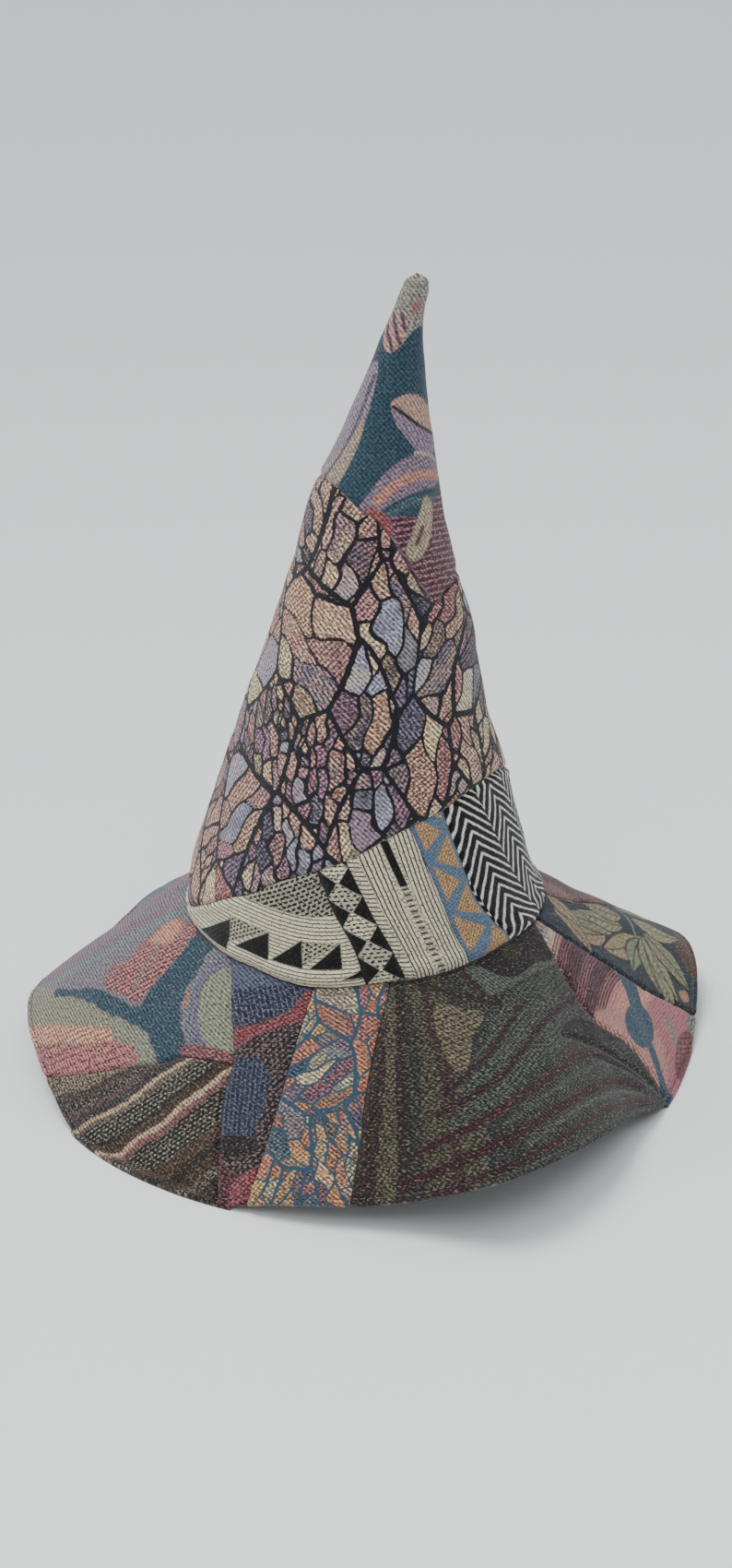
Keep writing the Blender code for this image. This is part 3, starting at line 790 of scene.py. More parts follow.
def paint_blue_floral(angle, share):
    """Teal shape, pink ribbed wings, sage shore with a peach stripe, and an oval by the seam."""
    p = flat_brim(angle, share)
    cloth = Cloth(p, "969099", "7d7784", draw=brim_line, way=70, ribs=0.35, flecks=0.4)
    ragged = 1.6 * waves(p, 61, 9)
    swell = waves(np.stack([2.2 * angle, 30 * share], -1), 62, 34) + 0.12 * ragged
    for low, ground, thread in ((0.10, "a3848e", "7b6470"), (0.55, "b39690", "8a6c6c"),
                                (-2.0, "7d8c95", "66727e")):
        patch = (low - swell) * 12 if low > -1 else (swell + 0.45) * 12
        cloth.lay(np.maximum(patch, angle + 95), ground, thread, way=70, pitch=2.6, ribs=0.35,
                  flecks=0.35, soft=1.2)
    cloth.stripe([(-88, 0.08), (-90, 0.3), (-89, 0.5), (-91, 0.75), (-93, 0.95)], 3.4, "80506b",
                 "a68a9a", way=75, pitch=2.2, ribs=0.35, flecks=0.4, soft=2.0)
    cloth.stripe([(-97, 0.1), (-102, 0.5), (-100, 0.9)], 4, "b48a90", "87747f", flecks=0.5, soft=3)
    cloth.stripe([(-82, 0.05), (-84, 0.3), (-84, 0.55), (-88, 0.9)], 4, "8f9a9d", "7c8790",
                 flecks=0.5, soft=3.0)
    cloth.area([(-96, 1.05), (-87, 0.86), (-82, 0.78), (-77, 0.69), (-71, 0.60), (-64, 0.53),
                (-58, 0.46), (-53, 0.43), (-47, 0.46), (-40, 0.6), (-50, 0.9), (-64, 1.1)], "a5a18b",
               "8b8d80", way=60, ribs=0.3, flecks=0.45, ragged=ragged)
    cloth.area([(-67, -0.03), (-56, -0.03), (-54, 0.05), (-53, 0.12), (-52, 0.2), (-50, 0.27),
                (-47, 0.33), (-44, 0.38), (-40, 0.46), (-46, 0.53), (-50.5, 0.48), (-53, 0.46),
                (-56, 0.47), (-58, 0.49), (-61, 0.51), (-65, 0.56), (-71, 0.62), (-77, 0.71),
                (-80, 0.8), (-82, 0.78), (-78, 0.68), (-73, 0.56), (-66, 0.48), (-60, 0.42),
                (-61, 0.33), (-62, 0.2), (-63, 0.1)], "44687a", "2f4c5f", way=120, pitch=2.2,
               ribs=0.42, flecks=0.25, ragged=0.6 * ragged)
    cloth.area([(-75, 0.02), (-67, 0.0), (-64, 0.08), (-62, 0.2), (-61, 0.32), (-61, 0.41),
                (-66, 0.46), (-72, 0.52), (-76, 0.44), (-75, 0.36), (-77, 0.28), (-79, 0.2),
                (-80, 0.12), (-79, 0.05)], "c48583", "542f3c", way=25, pitch=2.8, ribs=0.36,
               flecks=0.12, ragged=ragged)
    cloth.area([(-80, 0.12), (-78, 0.05), (-73, 0.06), (-70, 0.12), (-72, 0.18), (-77, 0.22)],
               "cfa07f", "c58a78", way=25, ribs=0.3, flecks=0.3, soft=2.5)
    cloth.stripe([(-71, 0.2), (-68, 0.3), (-65, 0.38)], 1.3, "9a9484", "857c78", flecks=0.4)
    cloth.area([(-80, 1.06), (-73, 0.84), (-67, 0.69), (-62, 0.58), (-59, 0.60), (-63, 0.71),
                (-68, 0.84), (-74, 1.06)], "dcae8a", "9a6a60", way=20, pitch=3.0, ribs=0.3,
               flecks=0.15, soft=1.0, ragged=ragged)
    cloth.area([(-74, 1.06), (-68, 0.84), (-63, 0.71), (-59, 0.60), (-55, 0.54), (-52, 0.55),
                (-52, 0.62), (-57, 0.74), (-62, 0.9), (-68, 1.1)], "c4807e", "4a2f3c", way=18,
               pitch=4.6, ribs=0.12, flecks=0.15, soft=1.0, ragged=ragged)
    ring = brim_line([(-44, -0.04), (-51, 0.06), (-51, 0.16), (-48, 0.26), (-44, 0.34), (-39, 0.4),
                      (-32, 0.42), (-28, 0.3), (-34, 0.0)])
    cloth.lay(np.abs(within(p, ring)) - 1.0, "8ea59b", "5a7480", flecks=0.4)
    cloth.lay(within(p, ring) + 0.8, "8c8299", "6c6680", way=80, ribs=0.35, flecks=0.3)
    cloth.area([(-42, 0.0), (-47, 0.09), (-47, 0.18), (-44, 0.27), (-40, 0.34), (-33, 0.4),
                (-28, 0.3), (-36, 0.05)], "a3a28b", "85907f", way=85, ribs=0.3, flecks=0.4)
    cloth.stripe([(-50.5, 0.21), (-49, 0.26)], 1.8, "c08a7c", "8f6a70", flecks=0.3)
    cloth.area([(-43, 0.41), (-37, 0.37), (-29, 0.37), (-29, 0.5), (-40, 0.5)], "b06f72", "5f4050",
               way=20, ribs=0.3, flecks=0.3)
    return cloth


# Stripes of the brown patch: start in mm across, ground, thread, rib width, flecks
BROWN_STRIPES = (
    (-99.0, "5c4a3e", "2f2724", 0.30, 0.40), (-46.0, "3a302b", "8d8577", 0.20, 0.35),
    (-40.0, "6b5240", "3a2c28", 0.35, 0.30), (-33.0, "4b3b33", "2a2322", 0.35, 0.30),
    (-27.0, "6e5748", "47372f", 0.35, 0.30), (-19.5, "1d1b1c", "a8a292", 0.62, 0.02),
    (-11.5, "221d1c", "958c7a", 0.60, 0.02), (-6.0, "9b6a68", "6f4a4c", 0.30, 0.25),
    (-2.6, "cdb596", "9a8166", 0.30, 0.15), (0.8, "6a5240", "3a2d28", 0.30, 0.20),
    (5.6, "2a2524", "5c4a40", 0.20, 0.15), (7.8, "1e1c1d", "a8a292", 0.62, 0.02),
    (17.0, "8b7a6c", "4f443f", 0.25, 0.25), (19.0, "cbb193", "8b735d", 0.25, 0.15),
    (21.4, "5b5152", "3b3437", 0.30, 0.30), (26.0, "7c6060", "4a3c40", 0.30, 0.30),
    (29.5, "2b2728", "8f8577", 0.10, 0.25), (33.0, "6d6058", "3c3432", 0.30, 0.35),
    (38.0, "a3917a", "4d443c", 0.20, 0.40),
)


def paint_brown_stripe(angle, share):
    """Stripes that climb to the right: a table of bands over the distance across them."""
    p = flat_brim(angle, share)
    start, end = flat_brim(-47.0, 1.0), flat_brim(-31.5, 0.50)
    way = (end - start) / np.hypot(*(end - start))
    t = (p - start) @ np.array([-way[1], way[0]])
    along = (p - start) @ way
    t = t + 0.8 * np.sin(along / 17) - 0.0012 * (along - 40) ** 2
    t = t + 1.4 * waves(p, 63, 34) + 0.4 * waves(p, 64, 8)
    slant = np.degrees(np.arctan2(way[1], way[0]))
    cloth = Cloth(p, "5c4a3e", "2f2724", way=slant, ribs=0.3, flecks=0.4)
    for at, ground, thread, ribs, flecks in BROWN_STRIPES:
        dotted = ribs > 0.5
        cloth.lay(at - t, ground, thread, way=slant + (0 if dotted else 40),
                  pitch=2.1 if dotted else 1.8, ribs=0.42 if dotted else ribs, flecks=flecks,
                  dash=0.42 if dotted else 0.8)
    return cloth


def paint_navy_red(angle, share):
    """Blocks of navy twill, wine pink and flecked black."""
    p = flat_brim(angle, share)
    cloth = Cloth(p, "2a2226", "8c7478", draw=brim_line, way=45, pitch=2.6, ribs=0.42, flecks=0.08,
                  dash=0.5)
    cloth.area([(-50, -0.05), (-14, -0.05), (-16, 0.03), (-26, 0.05), (-36, 0.12), (-46, 0.2)],
               "6d6580", "566c86", way=30, ribs=0.4, flecks=0.45)
    cloth.area([(-48, 0.16), (-37, 0.10), (-28, 0.03), (-18, 0.0), (-20, 0.10), (-27, 0.19),
                (-35, 0.26), (-42, 0.28)], "343850", "6f7694", way=105, pitch=2.7, ribs=0.25,
               flecks=0.1)
    cloth.area([(-35, 0.29), (-28, 0.21), (-21, 0.12), (-18, 0.02), (-13, 0.0), (-14, 0.14),
                (-20, 0.18), (-27, 0.26), (-31, 0.34)], "a85a64", "5e2a38", way=20, ribs=0.3,
               flecks=0.25)
    cloth.lay(within(p, brim_line([(-31, 0.38), (-24, 0.35), (-20, 0.43), (-20, 0.58), (-21, 0.71),
                                   (-31, 0.74), (-33, 0.58)], sharp=True)), "343b52", "626c88",
              way=85, pitch=2.6, ribs=0.28, flecks=0.08)
    cloth.area([(-32, 0.73), (-21, 0.70), (-20, 0.78), (-31, 0.80)], "262225", "4a3a40", flecks=0.2)
    cloth.area([(-32, 0.80), (-26, 0.78), (-24, 0.84), (-20, 0.90), (-17, 1.05), (-32, 1.05)],
               "8d4a58", "2b2427", way=60, pitch=3.5, ribs=0.3, flecks=0.42)
    cloth.area([(-22, 0.90), (-17, 0.82), (-16, 0.9), (-21, 1.0)], "b0626a", "6a3040", flecks=0.3)
    return cloth


# Peach cells: ground, thread, peach share, teal share, butter share
PEACH_COLOURS = (
    ("d8a470", "946844", 3.2, 0.7, 1.0), ("d09074", "8c564a", 3.2, 0.7, 0.6),
    ("e6c484", "9a7e4c", 1.2, 0.5, 2.6), ("dcd0a8", "7a7a6a", 0.4, 0.8, 1.8),
    ("4e6e82", "2c4454", 0.35, 5.0, 0.4), ("b87c86", "74444e", 0.7, 1.2, 0.3),
    ("9a9c9c", "566a74", 0.2, 2.2, 0.3), ("a88496", "5c4256", 0.4, 1.0, 0.2),
)


def paint_mosaic(angle, share):
    """Small cells, peach by the seam, teal and flecked in the middle, pink towards the rim."""
    p = flat_brim(angle, share)
    cloth = Cloth(p, "c9956c")
    cells, big_edge, small_edge = shards(p, 41, (-75, -265), (30, -130), 24.0, 1.8, 7.6, 0.25)
    spots = ((-6, 0.05, 16, 0), (-2, 0.2, 18, 0), (-13, 0.14, 14, 2), (-4, 0.36, 18, 0),
             (-12, 0.34, 16, 1), (-10, 0.55, 18, 1), (-4, 0.5, 14, 2), (-14, 0.5, 12, 0),
             (-6, 0.66, 16, 0), (-3, 0.75, 12, 2), (-12, 0.72, 14, 1), (-14, 0.85, 14, 0),
             (-6, 0.85, 16, 0), (-15, 0.97, 12, 2), (-9, 0.95, 12, 1))
    zones = [(*flat_brim(a, s), reach, kind) for a, s, reach, kind in spots]
    paved_colours(cloth, cells, PEACH_COLOURS, zones, 42, 2.2)
    cloth.mark(big_edge)
    cloth.mark(small_edge + 0.25)
    return cloth


# Strips at the left of the dark leaf: angle of the right edge at the seam and at the rim, ground,
# thread, flecks
LEAF_STRIPS = (
    (25.0, 24.0, "4d4f49", "2f3133", 0.45), (21.5, 17.0, "6f6a52", "37342e", 0.40),
    (18.0, 14.0, "5a4038", "3b2b2c", 0.30), (15.5, 12.0, "6b6650", "35332e", 0.42),
    (12.0, 8.5, "53534b", "2d2d2e", 0.50), (9.5, 6.0, "4b3a33", "2c2423", 0.35),
    (8.0, 4.0, "77705a", "39352f", 0.40), (5.0, 1.5, "54403a", "2f2626", 0.35),
)
# Veins of the dark leaf: points as angle and reach share, half width in mm, ground, thread
VEINS = (
    (((8, 0.80), (20, 0.70), (33, 0.64), (45, 0.62), (54, 0.68)), 2.8, "5e2c36", "33202a"),
    (((6, 0.93), (22, 0.82), (38, 0.78), (50, 0.80), (58, 0.86)), 3.2, "5a2b35", "321f27"),
    (((10, 0.99), (26, 0.93), (40, 0.90), (52, 0.93), (60, 0.95)), 2.4, "5c2e38", "32212a"),
    (((12, 0.64), (24, 0.55), (33, 0.46), (42, 0.40), (56, 0.38)), 2.3, "522e3a", "2c2029"),
    (((14, 0.55), (24, 0.43), (32, 0.34), (40, 0.27)), 2.0, "4e303a", "2b222b"),
    (((24, 0.88), (36, 0.83), (47, 0.85), (57, 0.90)), 1.2, "6c7066", "484c46"),
    (((22, 0.76), (34, 0.70), (45, 0.69), (54, 0.74)), 1.2, "646a60", "44494a"),
    (((16, 1.0), (30, 0.97), (44, 0.96), (56, 0.985)), 1.3, "62655a", "3c3e3b"),
)
# Two sewn pleats beside the ridge, pressed in below; dark stripes drawn along them here are
# painted shade in their creases. Points as angle and reach share
LONG_PLEAT = ((44, 0.50), (53, 0.64), (60, 0.80), (63, 0.93))
SHORT_PLEAT = ((49, 0.66), (56, 0.76), (61, 0.88))
# Millimetres of arc for a degree at the head seam, and how much more there are at the rim
MM_PER_DEGREE = 1.71
MORE_AT_RIM = 1.57


def paint_dark_leaf(angle, share):
    """Tweed ground, strips down the left, wine veins that sweep up to the right, and painted shade
    along the pleats.
    """
    p = flat_brim(angle, share)
    cloth = Cloth(p, "5c625a", "27292a", draw=brim_line, way=60, pitch=2.2, ribs=0.35, flecks=0.5)
    for at_seam, at_rim, ground, thread, flecks in LEAF_STRIPS:
        edge = at_seam + (at_rim - at_seam) * share + 0.35 * np.sin(share * 7 + at_seam)
        gap = (angle - edge) * (MM_PER_DEGREE + MORE_AT_RIM * share)
        cloth.lay(gap, ground, thread, way=62, pitch=2.3, ribs=0.32, flecks=flecks)
    cloth.area([(26, 0.36), (30, 0.26), (38, 0.21), (50, 0.20), (62, 0.19), (66, 0.3), (62, 0.5),
                (50, 0.52), (38, 0.56), (28, 0.6), (20, 0.7), (12, 0.78), (16, 0.6), (20, 0.45)],
               "656b64", "2b2f31", way=48, pitch=2.6, ribs=0.3, flecks=0.38, soft=2.0)
    for points, half, ground, thread in VEINS:
        cloth.stripe(points, half, ground, thread, way=20, ribs=0.3, flecks=0.35, soft=2.2)
    cloth.area([(17, 0.15), (24, 0.19), (28, 0.25), (23, 0.33), (19, 0.47), (16, 0.4)], "857d62",
               "37332d", way=20, pitch=3.0, ribs=0.3, flecks=0.25)
    cloth.stripe([(13, -0.02), (22, 0.10), (33, 0.22)], 2.6, "463637", "2e2527",
              way=30, ribs=0.3, flecks=0.25)
    cloth.area([(30, 0.02), (37, 0.05), (46, 0.12), (60, 0.13), (60, 0.19), (48, 0.185), (38, 0.18),
                (31, 0.16)], "6f7670", "4a504f", way=20, pitch=2.7, ribs=0.3, flecks=0.3)
    cloth.stripe([(28, 0.0), (31, 0.15)], 2.0, "553b36", "382a2a", flecks=0.3)
    cloth.area([(35, -0.04), (48, -0.04), (68, -0.04), (66, 0.1), (60, 0.17), (52, 0.15), (42, 0.15),
                (36, 0.06)], "3b2e31", "252022", way=40, ribs=0.35, flecks=0.3)
    cloth.area([(44, 0.03), (50, 0.0), (53, 0.05), (47, 0.09)], "59503f", "3a3430", flecks=0.35,
               soft=2.0)
    cloth.stripe([(43, 0.57), (46, 0.585)], 2.2, "6e5040", "453732", flecks=0.3, soft=2.0)
    cloth.area([(45, 0.47), (52, 0.46), (58, 0.55), (61, 0.64), (55, 0.62), (48, 0.55)], "3a3032",
               "26272a", flecks=0.35, soft=2.0)
    # Painted shade: near-black stripes along both pleats and along a third line beside them stand for
    # the shade in the creases.
    for points, half in ((LONG_PLEAT, 0.9), (SHORT_PLEAT, 0.8),
                         (((54, 0.56), (60, 0.72), (63, 0.85)), 1.4)):
        cloth.stripe(points, half, "1d1b1e", "50504e", flecks=0.2, soft=1.0)
    return cloth


# Cross stripes of the pink patch: reach share where each starts, ground, thread, rib width
PINK_STRIPES = (
    (-1.0, "c49a86", "8f8f98", 0.3), (0.05, "8e8f98", "c9b49c", 0.3),
    (0.08, "dccaae", "b58d7c", 0.3), (0.12, "c9a08c", "7a4a52", 0.4),
    (0.16, "641c36", "b08088", 0.18), (0.22, "50142a", "96606e", 0.12),
    (0.29, "661e38", "b88890", 0.18), (0.36, "50142a", "96606e", 0.12),
    (0.43, "742840", "c89890", 0.2), (0.49, "b8746e", "e0b09c", 0.3),
    (0.53, "dcaa90", "b87a70", 0.3), (0.67, "c8828a", "a0606a", 0.3),
)


def paint_pink_teardrop(angle, share):
    """Stripes across the patch, then pink with a teal drop whose neck starts at the upper seam."""
    p = flat_brim(angle, share)
    cloth = Cloth(p, "c49a86", draw=brim_line)
    straight = share + 0.02 - 0.0004 * (angle - 72) ** 2
    for at, ground, thread, ribs in PINK_STRIPES:
        cloth.lay((at - straight) * BRIM_SLANT, ground, thread, ribs=ribs, flecks=0.05)
    cloth.weave[:, 0] = straight * BRIM_SLANT / 2.0
    cloth.floats[:, 1] = 1.5
    cloth.area([(70, 0.62), (75, 0.78), (66, 0.95), (60, 0.8), (58, 0.5), (66, 0.52)], "cf9f8d",
               "b77c78", way=60, ribs=0.3, flecks=0.3, soft=3.0)
    neck = off_line(p, brim_line([(80.5, 0.50), (78.5, 0.55), (75.0, 0.61)], False)) - 6.6
    outward = flat_brim(72.0, 1.0) - flat_brim(72.0, 0.0)
    outward = outward / np.hypot(*outward)
    across = np.array([-outward[1], outward[0]])
    gap = p - flat_brim(71.0, 0.67)
    body = (np.hypot(gap @ across / 17.5, gap @ outward / 12.0) - 1) * 12.0
    tail = off_line(p, brim_line([(70, 0.74), (67.5, 0.84), (65.5, 0.92), (64.5, 1.0)],
                                 False)) - 3.4
    cloth.lay(np.minimum(np.minimum(neck, body), tail), "46708a", "243f50", way=100, pitch=2.2,
              ribs=0.4, flecks=0.25)
    t, aside, _ = along_leaf(p, flat_brim(82.0, 0.76), flat_brim(76.5, 0.93), 1.5)
    cloth.lay(np.abs(aside) - 2.6 * np.sin(np.pi * np.clip(t, 0, 1)), "a5a088", "7f8674", way=40,
              ribs=0.3, flecks=0.3)
    cloth.area([(73, 0.93), (80, 0.90), (84, 0.97), (78, 1.05), (70, 1.05)], "a25f66", "5f2f3f",
               way=15, pitch=3.0, ribs=0.35, flecks=0.15)
    cloth.area([(86, 0.93), (84, 0.97), (86, 1.03), (90, 1.0)], "6d8285", "a79f8b", flecks=0.4)
    return cloth


# Leaves of the foliage patch: base angle and share, point angle and share, half width and bow in
# mm, ground, thread
LEAVES = (
    (97, 0.57, 84, 0.36, 6.5, 3.0, "c0a880", "928664"),
    (97, 0.60, 85, 0.55, 4.5, -2.0, "9fa58a", "7a8470"),
    (98, 0.62, 86, 0.74, 5.0, -2.5, "aaa682", "828562"),
    (99, 0.63, 88, 0.86, 5.0, -1.5, "b5ad88", "8c8867"),
    (100, 0.64, 93, 0.93, 5.0, 1.5, "a8a483", "7f8264"),
    (90, 0.36, 79, 0.13, 6.0, 2.0, "c2a67c", "8f8260"),
    (94, 0.42, 85, 0.10, 5.5, -2.5, "a6a384", "7e8065"),
    (99, 0.50, 94, 0.20, 5.0, 2.0, "b3aa86", "8a8669"),
    (104, 0.60, 104, 0.90, 6.0, -2.0, "b2a985", "8a8567"),
    (108, 0.55, 113, 0.85, 6.0, 2.0, "a5a283", "7d7f64"),
    (103, 0.52, 100, 0.26, 5.0, 1.0, "aaa483", "808264"),
    (110, 0.50, 108, 0.24, 5.5, 1.5, "b0a885", "868366"),
    (84, 0.05, 78, 0.30, 4.5, 2.0, "c8a882", "8f7a5c"),
    (92, 0.02, 86, 0.22, 5.0, -2.0, "c9b088", "8f7e5e"),
    (100, 0.02, 97, 0.20, 5.0, 2.0, "bfa884", "8a7c5e"),
    (91, 0.70, 84, 0.86, 4.0, 1.5, "b5ad88", "8c8867"),
)


def paint_foliage(angle, share):
    """Pale leaves with a midrib and slanting veins on navy, and their stems."""
    p = flat_brim(angle, share)
    cloth = Cloth(p, "264258", "182836", draw=brim_line, way=110, pitch=2.2, ribs=0.42, flecks=0.2)
    cloth.area([(97, 0.93), (102, 0.86), (108, 0.95), (104, 1.06), (96, 1.06)], "7c5a3f", "4f3a30",
               flecks=0.4, soft=2.0)
    for stem in (((99, 0.68), (97, 0.56), (92, 0.40), (86, 0.26), (80, 0.06)),
                 ((98, 0.58), (106, 0.56), (112, 0.5))):
        cloth.stripe(stem, 1.0, "8f9878", "6d7660", flecks=0.3)
    for base_a, base_s, tip_a, tip_s, half, bow, ground, thread in LEAVES:
        t, aside, length = along_leaf(p, flat_brim(base_a, base_s), flat_brim(tip_a, tip_s), bow)
        inside = np.clip(t, 0, 1)
        shape = 1.35 * half * np.sin(np.pi * inside**0.8) ** 0.8
        gap = np.abs(aside) - shape + 30 * (np.abs(t - 0.5) > 0.5)
        cloth.lay(gap - 1.2, "1c242a")
        cloth.lay(gap, ground, thread, way=30, pitch=2.0, ribs=0.3, flecks=0.3)
        vein = np.abs(((t * length - np.abs(aside) * 1.1) / 5.0) % 1 - 0.5) * 5.0
        cloth.lay(np.maximum(gap + 0.8, vein - 0.4), "6e7058", flecks=0.2)
        cloth.lay(np.maximum(gap + 0.5, np.abs(aside) - 0.5), "474e3e")
    cloth.stripe([(90.5, 0.895), (91, 0.91)], 3.6, "c69a6c", "a87b58", flecks=0.3)
    return cloth


def paint_pink(angle, share):
    """Quiet pinkish cloth with broad soft bars, for the back of the right side."""
    p = flat_brim(angle, share)
    cloth = Cloth(p, "8e6064", "6b4a52", way=60, ribs=0.35, flecks=0.35)
    swell = waves(np.stack([2.2 * angle, 40 * share], -1), 71, 40) + 0.15 * waves(p, 72, 9)
    cloth.lay((0.25 - swell) * 12, "a97f78", "7f5d60", way=60, ribs=0.3, flecks=0.35, soft=1.2)
    cloth.lay((swell + 0.55) * 12, "6d565e", "4d414a", way=60, ribs=0.3, flecks=0.35, soft=1.2)
    return cloth


def paint_back(angle, share):
    """The hidden back of the brim: plain charcoal tweed."""
    return Cloth(flat_brim(angle, share), "4a484b", "2c2b2e", way=45, pitch=2.4, ribs=0.35,
                 flecks=0.42)


print("leaves:", len(LEAVES), "veins:", len(VEINS), "stripes:", len(BROWN_STRIPES))

# %% [markdown]
# ## Sheets of cloth
# A patch is a closed slab: a fine grid on the show side, a coarser one inside, and a wall of
# narrow faces between their borders. Sewn cloth dips at its seams and puckers a little, so the
# show side is pushed along its normal by a few small terms. A cloth simulation would give loose
# folds too, but the hat's folds are sewn in and known, so plain formulas keep them in place.

# %% Relief and mesh
# Fine grid steps of the show side for each coarse one inside
COARSE = 4
# Relief waves: height in metres, size in mm
SWELL = (0.00045, 42)
SMALL_SWELL = (0.00018, 15)
PUCKER = (0.00030, 8)
# In metres: how far puckers reach in from a seam, how deep the seam's dip is and how far it reaches
PUCKER_REACH = 0.006
SEAM_DIP = 0.0011
SEAM_ROLL = 0.0016
# Rib number, rib share and fleck share of the reverse side
REVERSE_WEAVE = (0.0, -0.3, 0.45)
# The show side never comes nearer to the table than this
OVER_TABLE = 0.0008


def unit(vectors):
    """Vectors of length one along the last axis."""
    return vectors / np.maximum(np.linalg.norm(vectors, axis=-1, keepdims=True), 1e-12)


def normals(grid, closed):
    """Unit normals of a grid: the cross product of its two differences."""
    if closed:
        ring = np.concatenate([grid[:, -1:], grid, grid[:, :1]], 1)
        across = ring[:, 2:] - ring[:, :-2]
    else:
        across = np.gradient(grid, axis=1)
    return unit(np.cross(across, np.gradient(grid, axis=0)))


def border(grid, edges):
    """Distance in metres to the nearest sewn edge of a grid, along its rows and columns."""
    rows = np.cumsum(np.linalg.norm(np.diff(grid, axis=0, prepend=grid[:1]), axis=-1), 0)
    columns = np.cumsum(np.linalg.norm(np.diff(grid, axis=1, prepend=grid[:, :1]), axis=-1), 1)
    near = np.full(grid.shape[:2], 1.0)
    if "low" in edges:
        near = np.minimum(near, rows)
    if "high" in edges:
        near = np.minimum(near, rows[-1:] - rows)
    if "left" in edges:
        near = np.minimum(near, columns)
    if "right" in edges:
        near = np.minimum(near, columns[:, -1:] - columns)
    return near


def relief(p, near):
    """Height of the show side in metres: slow swells, a dip at the seams and puckers beside them."""
    swell = SWELL[0] * waves(p, 5, SWELL[1]) + SMALL_SWELL[0] * waves(p, 6, SMALL_SWELL[1])
    pucker = PUCKER[0] * waves(p, 7, PUCKER[1]) * np.exp(-((near / PUCKER_REACH) ** 2))
    dip = -SEAM_DIP * np.exp(-((near / SEAM_ROLL) ** 2))
    return swell + pucker + dip


def quads(rows, columns, closed, flip, start=0):
    """Corner numbers of a grid's faces, row by row."""
    count = columns if closed else columns - 1
    r, c = np.meshgrid(np.arange(rows - 1), np.arange(count), indexing="ij")
    nxt = (c + 1) % columns
    face = np.stack([r * columns + c, r * columns + nxt, (r + 1) * columns + nxt,
                     (r + 1) * columns + c], -1)
    face = face.reshape(-1, 4) + start
    return face[:, ::-1] if flip else face


def rim_line(rows, columns, side, start=0):
    """Corner numbers along one border of a grid."""
    along = {"low": np.arange(columns), "high": (rows - 1) * columns + np.arange(columns),
             "left": np.arange(rows) * columns, "right": np.arange(rows) * columns + columns - 1}
    return along[side] + start


def wall(fine, coarse, closed, flip):
    """Faces between a fine border and a coarse one: COARSE fine steps to each coarse step."""
    steps = len(coarse) if closed else len(coarse) - 1
    number = np.arange(steps)
    fine_at = (number[:, None] * COARSE + np.arange(COARSE + 1)) % len(fine)
    face = np.concatenate([fine[fine_at], coarse[(number + 1) % len(coarse)][:, None],
                           coarse[number][:, None]], 1)
    return face[:, ::-1] if flip else face


def into_scene(name, data):
    """New object with this mesh, light or camera, linked to the scene."""
    made = bpy.data.objects.new(name, data)
    bpy.context.scene.collection.objects.link(made)
    return made


def into_mesh(name, points, faces, cloth, uv):
    """Put points, faces and the woven design into a new mesh."""
    mesh = bpy.data.meshes.new(name)
    sizes = np.concatenate([np.full(len(f), f.shape[1]) for f in faces])
    loops = np.concatenate([f.ravel() for f in faces])
    mesh.vertices.add(len(points))
    mesh.vertices.foreach_set("co", points.astype(np.float32).ravel())
    mesh.loops.add(len(loops))
    mesh.loops.foreach_set("vertex_index", loops.astype(np.int32))
    mesh.polygons.add(len(sizes))
    starts = np.concatenate([[0], np.cumsum(sizes)[:-1]])
    mesh.polygons.foreach_set("loop_start", starts.astype(np.int32))
    mesh.update(calc_edges=True)
    layer = mesh.uv_layers.new(name="cloth")
    layer.data.foreach_set("uv", (uv[loops] / 1000).astype(np.float32).ravel())
    solid = np.ones((len(points), 1))
    for label, kind, field, value in (
        ("ground", "FLOAT_COLOR", "color", np.concatenate([cloth.ground, solid], 1)),
        ("thread", "FLOAT_COLOR", "color", np.concatenate([cloth.thread, solid], 1)),
        ("weave", "FLOAT_VECTOR", "vector", cloth.weave),
        ("floats", "FLOAT_VECTOR", "vector", cloth.floats),
        ("line", "FLOAT", "value", cloth.line),
    ):
        layer = mesh.attributes.new(label, kind, "POINT")
        layer.data.foreach_set(field, value.astype(np.float32).ravel())
    mesh.validate()
    mesh.shade_smooth()
    return into_scene(name, mesh)


def slab(name, show, inside, cloth, uv, closed=False, flip=False, pole=False):
    """Closed slab from a fine show grid and an inner grid of every COARSE-th column and row."""
    rows, columns = show.shape[:2]
    low_rows, low_columns = inside.shape[:2]
    back = rows * columns
    faces = [quads(rows, columns, closed, flip),
             quads(low_rows, low_columns, closed, not flip, back)]
    sides = ["low"] if pole else ["low", "high"]
    for side in sides + ([] if closed else ["left", "right"]):
        fine = rim_line(rows, columns, side)
        coarse = rim_line(low_rows, low_columns, side, back)
        turned = (side in ("low", "right")) != flip
        faces.append(wall(fine, coarse, closed, turned))
    if pole:
        top, under = rim_line(rows, columns, "high"), rim_line(low_rows, low_columns, "high", back)
        faces.append((top[::-1] if flip else top)[None])
        faces.append((under if flip else under[::-1])[None])
    points = np.concatenate([show.reshape(-1, 3), inside.reshape(-1, 3)])
    return into_mesh(name, points, faces, cloth, uv)


def with_reverse(cloth, count):
    """Add the reverse side's points: the mean colour, greyed and flecked."""
    mean = cloth.ground.mean(0)
    dull = 0.6 * mean + 0.4 * mean.mean()
    cloth.ground = np.concatenate([cloth.ground, np.tile(dull, (count, 1))])
    cloth.thread = np.concatenate([cloth.thread, np.tile(0.6 * dull, (count, 1))])
    cloth.weave = np.concatenate([cloth.weave, np.tile(REVERSE_WEAVE, (count, 1))])
    cloth.floats = np.concatenate([cloth.floats, np.tile(PLAIN_FLOATS, (count, 1))])
    cloth.line = np.concatenate([cloth.line, np.full(count, FAR)])
    return cloth


